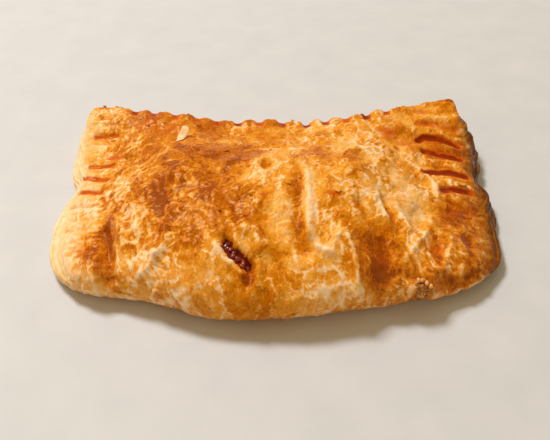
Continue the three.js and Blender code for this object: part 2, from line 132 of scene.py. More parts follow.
# Folds, creases and the tear: half width, rise (below zero for a groove), and [x, y, z] along each
TEAR = [[-16.5, -33.5, 21.5], [-14.3, -36.9, 20.5], [-9.4, -41.5, 18.7]]
TEAR_WIDTHS = [1.2, 2.2, 1.8]
FOLDS = [
    (2.1, -2.2, TEAR),
    (1.6, 0.8, [[-19.5, -35, 21], [-15, -40, 19.5], [-11.5, -44, 17.5]]),
    (2.2, 1.5, [[-10.5, -30, 23], [-7.5, -31, 22.5], [-6.5, -37, 20.5]]),
    (1.8, -1.2, [[-9, -42.5, 18.3], [-9.5, -47, 16]]),
    (1.5, 1.1, [[-6.5, -41, 19], [-7, -45, 17], [-8.5, -49, 14.5]]),
    (2.4, -1.1, [[7.2, -5, 26], [6.6, -20, 25], [6, -33, 22], [7.5, -37.5, 20.5]]),
    (1.8, 0.95, [[10, -8, 26], [9.6, -22, 24.5], [8.8, -33, 21.5]]),
    (1.5, 0.8, [[8.8, -33, 21.5], [11, -36.8, 20.3], [15.7, -39.2, 19.2]]),
    (1.6, 0.75, [[15.5, -38.5, 19.5], [17, -34, 21], [19.5, -32, 21.5]]),
    (1.6, 1.1, [[21, -34, 21], [22.5, -38, 19], [23, -43.5, 16.5], [22.5, -48.5, 12]]),
    (3.0, -1.1, [[33.5, -28.5, 19], [31, -40, 16.5], [30, -47, 11.5]]),
    (1.7, -1.1, [[35.5, -15, 21], [36.5, -21, 19.5], [38.5, -27.5, 17.5]]),
    (2.2, 0.95, [[29.5, -8.5, 24.5], [32, -14, 23], [34.5, -23, 20]]),
    (1.8, 0.8, [[38.5, -13.5, 20.5], [40, -19, 19], [41.5, -26, 16.5]]),
    (1.8, -0.8, [[26.5, -20.5, 23.5], [29, -27, 21]]),
    (1.7, 0.75, [[40, 16, 19.5], [46, 12.5, 17], [52, 10, 14.5], [56, 3.5, 13.5], [56, -5, 13]]),
    (1.8, 0.6, [[19, 14, 24.5], [25, 9, 26], [32, 11.5, 23.5], [40, 16, 19.5]]),
    (1.8, -1.1, [[51.5, -26, 13.5], [50.5, -34, 13]]),
    (1.6, 0.8, [[56, -23.5, 12.5], [55.5, -30, 12.5], [52.5, -35.5, 12.5], [50, -39.5, 11.5]]),
    (1.8, -0.8, [[63.5, -22.5, 10], [63, -29, 10], [60, -35.5, 10.5]]),
    (1.9, 0.8, [[51, -19.5, 13.5], [46.5, -27, 14.5], [42, -33, 15.3], [38, -39, 15]]),
    (1.7, 1.1, [[-54.5, -11.5, 14.5], [-51.5, -17.5, 15.5], [-49.5, -25, 16], [-47.5, -29.5, 16]]),
    (1.5, 0.8, [[-47, -12, 18], [-45, -20, 18], [-43.5, -27, 18]]),
    (1.5, 0.95, [[-42.5, -16, 20], [-41, -25, 19], [-40, -30, 18.5], [-38, -35, 17.5]]),
    (1.6, 1.1, [[-35, -30.5, 20], [-36.5, -34.5, 18], [-39.5, -37.5, 16.5], [-42, -39.5, 14]]),
    (2.4, -1.1, [[-40, -3, 22], [-37, -16, 22.5]]),
    (2.2, -2.3, [[-57, -18, 13.5], [-55, -24, 14], [-53.5, -32.5, 13.5], [-53, -38.5, 10.5]]),
    (1.5, -0.7, [[-63.5, -18, 11], [-63, -23.5, 11], [-60.5, -31, 12]]),
    (2.6, 1.9, [[40.5, -45, 10], [43.5, -44, 9.5], [46.5, -43.5, 9.5]]),
    (2.0, -0.8, [[40.5, -45.5, 5], [45.5, -44.5, 5.5]]),
    (1.5, -0.8, [[39.5, -43, 12.5], [49.5, -42.5, 9], [57, -40.5, 8.5], [63.5, -37, 7.5]]),
    (2.6, 0.75, [[48, -43.5, 5], [56, -41.5, 5.5], [64.5, -38, 5.5]]),
]

# Heights count this much in the distance to a fold
FOLD_HEIGHT_SHARE = 0.6

# Broad swells and hollows of the skin: x, y, z, radius and rise
MOUNDS = [
    (-25, -6.5, 26, 17, -1.4),
    (3, -12.5, 26, 12, 0.8),
    (-60.5, -32.5, 11.5, 7, 1.5),
    (43, -32.5, 15, 6, 0.9),
]

# The round pricked dimple with its puffed ring
DIMPLE = dict(middle=[-3.1, -2.4, 26], radius=3.6, ring=1.1, ring_width=1.6, pit_radius=2.2, depth=1.6)

# Blisters under the skin, over this much of the square co-ordinates
BLISTER_COUNT = 90
BLISTER_PLACES = dict(across=(-0.86, 0.86), along=(-0.95, 0.8))
BLISTER_RADIUS = dict(least=2.8, most=7.0)
BLISTER_RISE = dict(least=0.35, most=1.15)

# Slow swells of the whole skin, finer ripples, and leaves of dough that show at the cut sides
LUMP = dict(size=17.0, rise=0.8, seed=11)
RIPPLE = dict(size=6.5, rise=0.4, seed=23)
LEAF = dict(pitch=4.2, rise=0.45, wander=2.0, size=14.0, seed=31)

# Middle of the outline, which is moved to the origin
OUTLINE_MIDDLE = np.array([2.153, 0.481, 0.0])

# Facets across the top, front to back, and down the sides
FACETS_WIDE = 270
FACETS_DEEP = 170
FACETS_DOWN = 60

# The cut side sets in, and the relief fades out at the foot, over this share of the way down
FADE_SHARE = 1 / 3

# Passes that even out the outward directions round the corners
CORNER_SMOOTHING_PASSES = 56


def clamp(value, low=0.0, high=1.0):
    return np.clip(value, low, high)


def ease(value):
    t = clamp(value)
    return t * t * (3 - 2 * t)


def mix(a, b, share):
    return a + (b - a) * share


def between(limits, share):
    return mix(limits["least"], limits["most"], share)


def hump(value):
    return np.exp(-value * value)


def scatter(i, j, k):
    wave = np.sin(i * 127.1 + j * 311.7 + k * 74.7) * 43758.5453
    return wave - np.floor(wave)


def draws(i, seed, count):
    """The i-th thing's own random numbers between 0 and 1."""
    return [float(scatter(i, seed, k)) for k in range(count)]


def field(points, size, seed, **_):
    """Smooth random field between -1 and 1, with features of the given size."""
    scaled = points / size
    cell = np.floor(scaled)
    share = ease(scaled - cell)
    total = np.zeros(len(points))
    for corner in range(8):
        step = np.array([corner & 1, (corner >> 1) & 1, corner >> 2])
        weight = np.prod(np.where(step, share, 1 - share), axis=1)
        total += weight * scatter(cell[:, 0] + step[0] + seed, cell[:, 1] + step[1], cell[:, 2] + step[2])
    return 2 * total - 1


def fields(points, rows):
    """Sum of fields that are given as weight, size and seed."""
    return sum(weight * field(points, size, seed) for weight, size, seed in rows)


def patchy(points, size, seed, level, contrast):
    """Random patches with soft borders, from 0 to 1."""
    return ease(level + contrast * field(points, size, seed))


def bent(points, wander, size, seed):
    return points + wander * np.stack([field(points, size, seed + k) for k in range(3)], 1)


def layered_field(points, size, seed, octaves, falloff):
    """Random field with finer and finer detail, between about -1 and 1."""
    total = 0.0
    weight = 1.0
    weights = 0.0
    for octave in range(octaves):
        total = total + weight * field(points, size / 2**octave, seed + 17 * octave)
        weights += weight
        weight *= falloff
    return total / weights


def cells(points, size, seed):
    """Distance to the nearest and second nearest scattered point, in sizes, and the nearest one's draw."""
    scaled = points / size
    base = np.floor(scaled)
    first = np.full(len(points), 9.0)
    second = np.full(len(points), 9.0)
    draw = np.zeros(len(points))
    for corner in range(27):
        step = np.array([corner % 3, (corner // 3) % 3, corner // 9]) - 1
        cell = base + step
        spot = np.stack([scatter(cell[:, 0] + seed + 5 * a, cell[:, 1], cell[:, 2]) for a in range(3)], 1)
        distance = np.linalg.norm(cell + spot - scaled, axis=1)
        nearer = distance < first
        second = np.where(nearer, first, np.minimum(second, distance))
        draw = np.where(nearer, scatter(cell[:, 0] + seed, cell[:, 1] + 3, cell[:, 2] + 7), draw)
        first = np.where(nearer, distance, first)
    return first, second, draw


def distance_to_path(points, path, widths=None):
    """Distance to a path, as a share of its width there if its points have widths."""
    path = np.array(path, float)
    widths = np.ones(len(path)) if widths is None else np.array(widths)
    best = np.full(len(points), np.inf)
    for start, end, first, last in zip(path[:-1], path[1:], widths[:-1], widths[1:]):
        along = end - start
        share = clamp((points - start) @ along / (along @ along))
        off = np.linalg.norm(points - start - share[:, None] * along, axis=1)
        best = np.minimum(best, off / mix(first, last, share))
    return best


def distance_to(points, middle):
    return np.linalg.norm(points - np.array(middle, float), axis=1)


def patches(points, table):
    """What each row of a table, given as x, y, z, radius and amount, adds to each point."""
    for x, y, z, radius, amount in table:
        yield amount * hump(distance_to(points, [x, y, z]) / radius)


def weighed(parts, shares):
    return sum(share * parts[name] for name, share in shares.items())


# The plain form


def roll_fullness(u):
    spread = np.where(u < ROLL_FULL["place"], ROLL_FULL["left_spread"], ROLL_FULL["right_spread"])
    return np.exp(-(np.abs((u - ROLL_FULL["place"]) / spread) ** ROLL_FULL["power"]))


def ear_climb(u):
    left = clamp((BACK_LOW - u) / (1 + BACK_LOW)) ** EAR_CLIMB_POWER
    right = clamp((u - BACK_LOW) / (1 - BACK_LOW)) ** EAR_CLIMB_POWER
    return left, right


def front_growth(v):
    return ease((FRONT_GROWTH["place"] - v) / FRONT_GROWTH["spread"])


def rise_across(x, left, right):
    """Rise from the pressed bands at the left and right to the full height between them."""
    return ease((x - left - LEFT_BAND) / LEFT_SLOPE) * ease((right - x - RIGHT_BAND) / RIGHT_SLOPE)


def edges_at(u, v):
    """Left, right, back and roll edge at square co-ordinates u (left to right) and v (front to back)."""
    to_back = ease(v) ** EAR_CLIMB_POWER
    left_climb, right_climb = ear_climb(u)
    left = LEFT_EDGE - LEFT_EAR_REACH * to_back
    right = RIGHT_EDGE + RIGHT_EAR_REACH * to_back - RIGHT_FRONT_INSET * ease(-v)
    across = rise_across(mix(left, right, (u + 1) / 2), left, right)
    back = BACK_EDGE + BACK_EAR_REACH * (left_climb + right_climb) - BACK_DRAW * across
    roll = ROLL_EDGE + ROLL_END_INSET * (1 - roll_fullness(u))
    return left, right, back, roll


def height_at(x, y, u, v):
    left, right, back, roll = edges_at(u, v)
    back_rise = mix(BACK_EDGE_SHARE, 1, ease((back - y) / BACK_SLOPE))
    across = rise_across(x, left, right)
    left_climb, right_climb = ear_climb(u)
    lift = LEFT_EAR_LIFT * left_climb + RIGHT_EAR_LIFT * right_climb
    crown = (CROWN_HEIGHT - EDGE_HEIGHT) * across * back_rise
    drop = ROLL_DROP * across * clamp(1 - (y - roll) / ROLL_SLOPE) ** 2
    for side, inwards in (("left", x - left), ("right", right - x)):
        droop = mix(SHOULDER["back"], SHOULDER[side], front_growth(v))
        drop += droop * clamp(1 - inwards / SHOULDER["width"]) ** 2
    return EDGE_HEIGHT + crown - drop + lift * (1 - ease((back - y) / EAR_LIFT_DEPTH))


def top_points(u, v):
    """Points of the top; the square's front corners are drawn in to round ones."""
    power = np.where(v < 0, FRONT_CORNER_POWER, BACK_CORNER_POWER)
    most = np.maximum(np.abs(u), np.abs(v))
    norm = (np.abs(u) ** power + np.abs(v) ** power) ** (1 / power)
    share = np.where(most > 0, most / np.maximum(norm, 1e-9), 1)
    a, b = u * share, v * share
    left, right, back, roll = edges_at(a, b)
    x = mix(left, right, (a + 1) / 2)
    y = mix(roll, back, (b + 1) / 2)
    return dict(x=x, y=y, z=height_at(x, y, a, b), u=a, v=b, left=x - left, right=right - x, back=back - y)


def border_places():
    places = [(i, 0) for i in range(FACETS_WIDE)]
    places += [(FACETS_WIDE, j) for j in range(FACETS_DEEP)]
    places += [(i, FACETS_DEEP) for i in range(FACETS_WIDE, 0, -1)]
    places += [(0, j) for j in range(FACETS_DEEP, 0, -1)]
    return np.array(places)


def outward_directions(x, y):
    """Outward directions in plan along a closed line, evened out round the corners."""
    direction = np.stack([np.roll(y, -1) - np.roll(y, 1), np.roll(x, 1) - np.roll(x, -1)])
    direction /= np.linalg.norm(direction, axis=0)
    for _ in range(CORNER_SMOOTHING_PASSES):
        direction = (np.roll(direction, 1, axis=1) + direction + np.roll(direction, -1, axis=1)) / 3
    return direction / np.linalg.norm(direction, axis=0)


def swell_at(u, v, direction):
    """How far each border point's side bulges and its foot stands out, and its share of cut side."""
    roll_share = clamp(-direction[1]) ** 2
    back_share = clamp(direction[1]) ** 2
    side_share = 1 - roll_share - back_share
    to_front = front_growth(v)
    ear_end = 1 - ease((v - EAR_DECAY["place"]) / EAR_DECAY["spread"])
    back_end = 1 - np.abs(u) ** BACK_SWELL_POWER
    waist = WAIST["depth"] * hump((v - WAIST["place"]) / WAIST["spread"])
    left_swell = mix(SWELL["left_back"], SWELL["left"], to_front)
    right_swell = mix(SWELL["right_back"], SWELL["right"], to_front)
    bulge = side_share * (np.where(u < 0, left_swell, right_swell) - waist) * ear_end
    bulge += back_share * SWELL["back"] * back_end
    bulge += roll_share * mix(SWELL["roll_ends"], SWELL["roll"], roll_fullness(u))
    foot = side_share * np.where(u < 0, FOOT["left"], FOOT["right"])
    foot += back_share * FOOT["back"] + roll_share * FOOT["roll"]
    return bulge, foot, 1 - roll_share


def plain_form():
    """Every vertex of the plain form with what the relief needs to know of its place, and the faces."""
    i, j = np.meshgrid(np.arange(FACETS_WIDE + 1), np.arange(FACETS_DEEP + 1), indexing="ij")
    top = top_points((2 * i / FACETS_WIDE - 1).ravel(), (2 * j / FACETS_DEEP - 1).ravel())
    grid = np.arange(i.size).reshape(i.shape)
    places = border_places()
    border = grid[places[:, 0], places[:, 1]]
    rim = {name: values[border] for name, values in top.items()}
    direction = outward_directions(rim["x"], rim["y"])
    inner = grid[clamp(places[:, 0], 1, FACETS_WIDE - 1), clamp(places[:, 1], 1, FACETS_DEEP - 1)]
    run = np.hypot(top["x"][inner] - rim["x"], top["y"][inner] - rim["y"])
    slope = clamp((top["z"][inner] - rim["z"]) / run, 0, STEEPEST)
    bulge, foot, cut = swell_at(rim["u"], rim["v"], direction)
    round_length = np.concatenate([[0], np.cumsum(np.hypot(np.diff(rim["x"]), np.diff(rim["y"])))])

    zeros = np.zeros(grid.size)
    columns = {name: [top[name]] for name in ("x", "y", "z", "left", "right", "back")}
    columns.update(cut=[zeros], fade=[zeros + 1], down=[zeros], round=[zeros])
    rows = [border]
    for row in range(1, FACETS_DOWN + 1):
        t = row / FACETS_DOWN
        out = bulge * math.sin(math.pi * t) + foot * t
        z = rim["z"] * (1 + math.cos(math.pi * t)) / 2
        z -= slope * bulge * math.sin(math.pi * t) * (1 - t) ** 2
        down = np.hypot(out, rim["z"] - z)
        values = dict(x=rim["x"] + direction[0] * out, y=rim["y"] + direction[1] * out, z=z)
        values.update({name: rim[name] - down for name in ("left", "right", "back")})
        values.update(cut=cut * ease(t / FADE_SHARE), fade=ease((1 - t) / FADE_SHARE))
        values.update(down=t, round=round_length)
        for name, value in values.items():
            columns[name].append(np.broadcast_to(value, border.shape))
        rows.append(grid.size + (row - 1) * len(border) + np.arange(len(border)))
    form = {name: np.append(np.concatenate(values), 0.0) for name, values in columns.items()}
    return form, faces_of(grid, rows, len(form["x"]) - 1)


def bands(rows):
    """Faces between closed rows of vertices, each row with the next one."""
    faces = []
    for a, d in zip(rows[:-1], rows[1:]):
        b, c = np.roll(a, -1), np.roll(d, -1)
        faces += [np.stack([a, d, c], 1), np.stack([a, c, b], 1)]
    return faces


def fan(middle, row):
    return [np.stack([np.full(len(row), middle), row, np.roll(row, -1)], 1)]


def faces_of(grid, rows, base_middle):
    a, b = grid[:-1, :-1].ravel(), grid[1:, :-1].ravel()
    c, d = grid[1:, 1:].ravel(), grid[:-1, 1:].ravel()
    top = [np.stack([a, b, c], 1), np.stack([a, c, d], 1)]
    return np.concatenate(top + bands(rows) + fan(base_middle, rows[-1][::-1]))


def vertex_normals(points, faces):
    corners = points[faces]
    across = np.cross(corners[:, 1] - corners[:, 0], corners[:, 2] - corners[:, 0])
    normals = np.zeros_like(points)
    for k in range(3):
        for axis in range(3):
            normals[:, axis] += np.bincount(faces[:, k], across[:, axis], len(points))
    return normals / np.maximum(np.linalg.norm(normals, axis=1, keepdims=True), 1e-12)


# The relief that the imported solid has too


def side_marks(form, inwards, marks, reach, burnt_share):
    """Rise and burn of the strokes pressed into the left or right band, with lobes between them."""
    place = np.stack([inwards, form["y"]], 1)
    distances = [distance_to_path(place, path) for *_, path in marks]
    depth = np.zeros(len(inwards))
    burn = np.zeros(len(inwards))
    for distance, (width, own_depth, own_burn, _) in zip(distances, marks):
        depth = np.maximum(depth, own_depth * hump(distance / width))
        burn = np.maximum(burn, own_burn * hump((distance / (burnt_share * width)) ** 2))
    rows = [path[-1][1] for *_, path in marks]
    on_band = ease((reach - inwards) / MARK_FADE) * ease((inwards + MARK_FADE) / MARK_FADE)
    on_band *= ease((form["y"] - min(rows)) / MARK_FADE) * ease((max(rows) - form["y"]) / MARK_FADE)
    lobe = LOBE["rise"] * ease((np.min(distances, axis=0) - LOBE["start"]) / LOBE["spread"]) * on_band
    return lobe - depth, burn


def back_marks(form):
    """Rise and burn of the short marks that notch the back edge."""
    inwards = form["back"]
    step = np.round((form["x"] - BACK_MARKS["first"]) / BACK_MARKS["pitch"])
    step = np.clip(step, 0, BACK_MARKS["count"] - 1)
    stray = BACK_MARKS["stray"] * (scatter(step, 5, 0) - 0.5)
    off = np.abs(form["x"] - BACK_MARKS["first"] - BACK_MARKS["pitch"] * step - stray)
    reach = ease((BACK_MARKS["length"] - inwards) / MARK_FADE + 0.5)
    reach = reach * ease((BACK_MARKS["wrap"] + inwards) / MARK_FADE + 0.5)
    groove = reach * hump((off / BACK_MARKS["width"]) ** 2)
    depth = between(BACK_MARKS, scatter(step, 4, 0))
    lobe = LOBE["rise"] * reach * ease((off - LOBE["start"]) / LOBE["spread"]) * (off < BACK_MARKS["pitch"])
    burn = between(BACK_BURN, scatter(step, 6, 0)) * groove
    return lobe - depth * groove, burn * ease((BACK_BURN["reach"] - inwards) / BACK_BURN["fade"])


def mark_relief(form):
    rows = [
        side_marks(form, form["left"], LEFT_MARKS, LOBE["left_reach"], LEFT_BURNT_SHARE),
        side_marks(form, form["right"], RIGHT_MARKS, LOBE["right_reach"], RIGHT_BURNT_SHARE),
        back_marks(form),
    ]
    return sum(rise for rise, _ in rows), np.max([burn for _, burn in rows], axis=0)


def distance_to_fold(points, path, widths=None):
    flattened = np.array([1, 1, FOLD_HEIGHT_SHARE])
    return distance_to_path(points * flattened, np.array(path) * flattened, widths)


def fold_relief(points):
    return sum(rise * hump(distance_to_fold(points, path) / width) for width, rise, path in FOLDS)


def dimple_relief(points):
    distance = distance_to(points, DIMPLE["middle"])
    ring = DIMPLE["ring"] * hump((distance - DIMPLE["radius"]) / DIMPLE["ring_width"])
    return ring - DIMPLE["depth"] * hump(distance / DIMPLE["pit_radius"])


def blister_relief(points):
    i = np.arange(BLISTER_COUNT, dtype=float)
    u = mix(*BLISTER_PLACES["across"], scatter(i, 1, 0))
    v = mix(*BLISTER_PLACES["along"], scatter(i, 2, 0))
    top = top_points(u, v)
    middles = np.stack([top["x"], top["y"], top["z"]], 1)
    size = scatter(i, 3, 0) ** 2
    total = np.zeros(len(points))
    for middle, radius, rise in zip(middles, between(BLISTER_RADIUS, size), between(BLISTER_RISE, size)):
        total += rise * clamp(1 - (distance_to(points, middle) / radius) ** 2) ** 2
    return total


def leaf_relief(points):
    wander = LEAF["wander"] * field(points, **LEAF)
    return LEAF["rise"] * np.sin(2 * np.pi * (points[:, 2] + wander) / LEAF["pitch"])


# Finer relief of the baked skin

# Random patches of the skin where these stand out
WRINKLED = dict(size=15.0, seed=47, level=0.35, contrast=0.9)
PUFFED = dict(size=13.0, seed=168, level=0.45, contrast=1.1)
CREASED = dict(size=4.0, seed=171, level=0.5, contrast=1.5)
CRESTED = dict(size=4.5, seed=186, level=0.65, contrast=1.5)
BAKED_RED = dict(size=4.0, seed=173, level=0.7, contrast=0.9)
FLAKED = dict(size=1.3, seed=193, level=0.55, contrast=1.0)

# Thin leaves of dough that lie on the skin or have broken off it
LEAVES = dict(
    count=1150, least=1.2, most=5.8, thin=0.07, thick=0.21, turn=1.2, stretch=0.9, edge=0.45, seed=7,
)

# Waves of their outlines: how many go round, how deep they are and which draw shifts them
LEAF_WAVES = [(2, 0.24, 4), (3, 0.17, 5), (5, 0.1, 6)]
LEAF_RAGGED = [(0.6, 1.6, 101), (0.35, 0.8, 103)]
LEAF_LIP = dict(place=0.3, width=0.4, least=0.4, worn=0.7)
LYING_LEAF = dict(curl=0.7, spread=0.36, paler_share=0.42, cover=0.85)
TORN_LEAF = dict(share=0.36, sink=0.8, tone=-0.2, spread=0.24, cover=0.8)
LEAF_LOWEST = 0.66

# A random draw times this is any turn or phase, in radians
ANY_TURN = 6

# Creases that run mostly from front to back, and are weaker towards the back
WRINKLE = dict(size=1.9, rise=0.3, level=0.35, wander=2.2, wander_size=9.0, seed=41)
WRINKLE_STRETCH = np.array([1.0, 0.3, 0.6])
WRINKLE_FADE = dict(start=5.0, length=25.0, at_back=0.45)
CRACKLE = dict(size=1.7, rise=0.045, level=0.4, grain=0.5, grain_size=0.9, seed=97)

# Plates of skin that puffed up on their own, with pale rims and with creases between them
PLATE = dict(size=5.4, wander=2.2, wander_size=4.5, rise=0.32, least=0.5, shoulder=0.55, seed=163)
PLATE_STRETCH = np.array([1.0, 0.8, 0.8])
PLATE_RIM = dict(place=0.2, width=0.12)
PLATE_CREASE = dict(depth=0.1, width=0.06)

# Small domes of the skin, in two sizes; a dome's radius is a share of the size
SMALL_BLISTERS = [
    dict(size=4.6, seed=53, radius=0.55, start=0.4, spread=0.4, rise=0.22),
    dict(size=2.3, seed=59, radius=0.6, start=0.5, spread=0.3, rise=0.08),
]

# Left of the middle the skin is calmer: fewer flakes and creases, and fuller plates with clearer rims
CALM = dict(middle=[-24, 4, 24], radius=27.0, flakes=0.5, creases=0.6, plates=0.9, rims=0.5)

# Thin torn crests along the raised folds, and along these lines
CREST_LINES = [
    [[-11, 10, 23.6], [-6.3, 12.9, 22.7], [-1.2, 12.7, 22.7], [9.4, 11.3, 23], [18, 10.6, 23.4]],
    [[18.2, -33.3, 21.3], [18.7, -38.7, 19.3]],
]
CREST = dict(width=0.6, rise=0.4, bend=1.0, bend_size=3.2, seed=181)

# Fine layer lines in the bands beside the left and right edges, where the rest lies flatter
BAND_LAYERS = dict(
    reach=13.0, fade=5.0, size=1.1, wander=0.5, wander_size=7.0, rise=0.24, flatter=0.3, seed=151,
)
BAND_STRETCH = np.array([0.1, 1.0, 0.7])

# Leaves of dough at the cut sides, each shifted against the next. Towards the right they stick out more,
# and their gaps are darker
LAYER = dict(pitch=1.15, rise=0.5, gap=0.45, gap_width=0.17, edge=0.25)
LAYER_WANDER = [(1.1, 11.0, 71), (0.5, 4.0, 73)]
LAYER_REACH = [(1.0, 9.0, 79), (0.7, 2.8, 83)]
LAYER_SHIFT = dict(along=37.0, up=5.0)
LAYER_GROWTH = dict(start=0.0, length=40.0, low=0.75)
GAP_GROWTH = dict(start=-40.0, length=60.0, low=0.75)

# The brim of the tear, and how far its floor is sunk
TEAR_RAGGED = [(0.8, 2.2, 131), (0.6, 0.9, 137)]
TEAR_SINK = 0.9

# Browning of the skin, from 0 for cream to 1 for dark brown
BASE_TONE = 0.506

# Tones over this one are held back by this share of what they pass it by
DARK_START = 0.75
DARK_EASING = 0.4

# Random clouds of tone: how much, how stretched, and how coarse
TONE_CLOUDS = [
    (0.14, [1, 1, 1], dict(size=15.0, seed=91, octaves=2, falloff=0.5)),
    (0.24, [1, 0.7, 1], dict(size=5.5, seed=95, octaves=3, falloff=0.7)),
]

# What each kind of relief adds to the tone, and what it adds to paleness
# The swells' share darkens the hollows of the broad swells and lightens their tops: painted shade and light
TONE_SHARES = dict(
    leaf_tone=1, blisters=0.3, bubbles=0.22, dark_creases=0.14, lines=-0.3, swells=-0.1, plate_tones=0.26,
)
# The paleness of lips, crests, rims and fold crests is partly their own colour and partly painted highlight
PALE_SHARES = dict(lips=0.8, crests=0.7, rims=0.6, fold_crests=0.9)

# Paleness sets in at this sum of its shares, and is weaker in the hollows of the fine relief, so that its
# painted highlight stays on the raised, lit places
PALE_START = dict(start=0.3, spread=0.6)
PALE_RISE = dict(level=0.6, full=0.3)

# Swells count up to this height
SWELL_LIMIT = 1.5

# The tones of folds and grooves, and how much of the paleness a groove takes away. The raised folds' paler
# tone is partly painted highlight; the grooves' darker tone is painted shade
FOLD_TONES = dict(width=0.8, raised=-0.12, groove=0.32)
GROOVE_COVER = 0.75

# Browner and paler patches of the skin, from left to right: x, y, z, radius and tone. Besides browning, the
# pale ones right of the crown partly lighten slopes that the window leaves in shade
TONE_PATCHES = [
    (-74, 34, 9, 7, 0.06), (-66, -35, 6, 7, 0.35), (-62, -4, 11.5, 9, 0.2),
    (-59, 40, 16, 6, 0.1), (-58, -28, 12.5, 8, 0.45), (-58, 22, 13.5, 5, 0.3),
    (-57.5, 27, 13.5, 7, -0.15), (-54, 6.5, 15, 6, -0.12), (-53, -15, 14.5, 4, 0.25),
    (-52, -11, 16, 6, 0.08), (-50, 39, 17.5, 6, 0.35), (-49, -37, 13.5, 6, -0.1),
    (-43, -9, 21, 8, 0.1), (-43, 38, 19, 7, 0.2), (-42, 34, 18, 6, 0.1),
    (-39, -5, 23, 8, 0.14), (-39, -4, 23, 7, 0.1), (-38, -19, 22, 6, 0.1),
    (-38, -19, 22, 7, 0.1), (-38, -11, 22.5, 7, 0.12), (-38, 9, 21, 13, 0.18),
    (-38, 30, 18.5, 13, 0.2), (-36, -40, 15.5, 9, -0.22), (-36, -21, 22, 6, 0.12),
    (-34, -27, 21.5, 5, 0.25), (-32, -8, 25, 22, 0.1), (-31, -21, 23.5, 9, 0.12),
    (-26, 11, 24, 8, 0.22), (-26, 11, 24, 9, 0.34), (-25.5, 32, 19, 6, 0.15),
    (-25, -9, 26, 10, 0.12), (-24, -42, 17.5, 7, -0.12), (-24, -34, 21, 7, 0.24),
    (-22, 4, 25, 13, 0.12), (-20, -28, 23, 5, 0.15), (-18, -19, 25, 10, 0.22),
    (-16, 25, 20, 13, 0.1), (-12, -23, 24, 6, 0.08), (-12, -22, 24.5, 8, 0.25),
    (-12, -10.5, 26, 5.5, -0.3), (-12, -10, 26, 7, 0.18), (-12, 9, 24, 6, 0.12),
    (-12, 9, 24, 7, 0.08), (-12, 11, 23, 7, 0.12), (-12, 11, 23.5, 8, 0.2),
    (-10, 22, 20.5, 8, -0.08), (-9, -45, 17, 4, 0.25), (-8.5, -28, 23.5, 5, 0.2),
    # The small pale patch at -8, -7 is a painted glint
    (-8, -7, 26, 2.5, -0.3), (-2, 28, 18.5, 6, 0.1), (0, -47, 16, 7, 0.15),
    (0, -35, 21, 7, -0.12), (0, -34.5, 21.5, 6, -0.14), (0.5, -24, 24.5, 6, -0.16),
    (1, -24, 24, 7, -0.12), (6, 15, 25, 4, -0.15), (14, -11, 26, 9, 0.06),
    (16, 3, 25, 6, 0.15), (16, 9, 24, 9, 0.12), (22, -42, 17, 5, 0.25),
    (22, -41, 18, 4, 0.12), (25, -34, 20, 5, 0.1), (26, 16, 21.5, 9, -0.2),
    (28, -37, 18, 6, 0.22), (28, -10, 25, 6, 0.08), (28, -10, 25, 8, -0.14),
    (29, -45, 15, 6, 0.25), (29, -43, 15, 5, 0.2), (30, -37, 18.5, 8, 0.3),
    (31, -26, 20.5, 6, -0.2), (31, 11, 22.5, 9, -0.3), (34, -41, 15, 5, 0.15),
    (36, -42, 14, 6, 0.14), (38, -42, 15, 4, 0.2), (38, 8, 20, 8, -0.12),
    (40, -17, 18, 6, -0.1), (43, -2, 18.5, 7, -0.25), (44.9, -15.6, 16.4, 5, -0.3),
    (45, -14, 17, 5, -0.14), (45.8, 20.5, 16.4, 1.3, 0.7), (46, -42, 11, 4, 0.25),
    (46, 32, 16, 5, 0.4), (47, -25, 14, 5, -0.12), (47, -12, 15.5, 6, -0.25),
    (47, 19, 16, 7, -0.26), (50, 37, 17, 6, -0.15), (52, -36, 12, 5, 0.1),
    (52, -27, 13, 6, 0.18), (55, 10, 14, 5, -0.2), (59, 4, 12, 6, 0.12),
    (60, -27, 11, 9, 0.3), (60, 42, 16, 10, -0.22), (63, -10.5, 13, 4.5, 0.3),
    (63, 21, 12, 6, 0.14), (63, 23, 12, 6, 0.12), (64, -13, 11, 7, 0.3),
]

# Streaks of the skin: half width, tone and [x, y, z] along each
STREAKS = [
    # Painted shade in the hollow left of the middle ridge
    (2.2, 0.14, [[6.8, -10, 25.8], [6.3, -20, 25], [6, -31, 22.5]]),
    # Painted highlight along the middle ridge's lit flank, and where the ridge bends to the right
    (2.4, -0.3, [[11.6, -9, 26], [11.3, -22, 24.5], [10.4, -33, 21.5]]),
    (1.8, -0.25, [[11, -36, 20.5], [16, -39.5, 19]]),
    (0.8, 0.3, [[15.8, -18.5, 25.1], [20.7, -17.4, 25.2]]),
    (2.6, 0.1, [[-57, -17, 13.5], [-55, -24, 14], [-54, -34, 12.5]]),
]

# Patches baked to a red-orange: x, y, z, radius and burn; and the mottling of the burnt marks
REDDENED = [
    (17, -18, 25.2, 1.6, 0.405),
    (19, -17.6, 25.2, 1.6, 0.405),
    (-46, 35, 18, 8, 0.297),
    (-37, 32, 19, 6, 0.243),
    (44, 29, 17, 5, 0.405),
    (50, 23, 15, 5, 0.351),
    (-62, -25, 11, 5, 0.324),
    (51, -29, 13, 4, 0.3645),
]
RED_STRETCH = np.array([0.5, 1.3, 1.3])
BURN_MOTTLE = dict(level=0.9, contrast=0.35, size=1.9, seed=141)

# A painted highlight along the lit flank of the middle ridge, ragged and flaked
RIDGE_HIGHLIGHT = dict(width=1.4, pale=0.8)
RIDGE_HIGHLIGHT_PATH = [[10.2, -7, 26], [9.8, -22, 24.5], [9, -32, 22], [10.4, -36.6, 20.5]]
RIDGE_RAGGED = [(0.7, 1.6, 191)]
FLAKE_STRETCH = np.array([1.0, 0.5, 1.0])

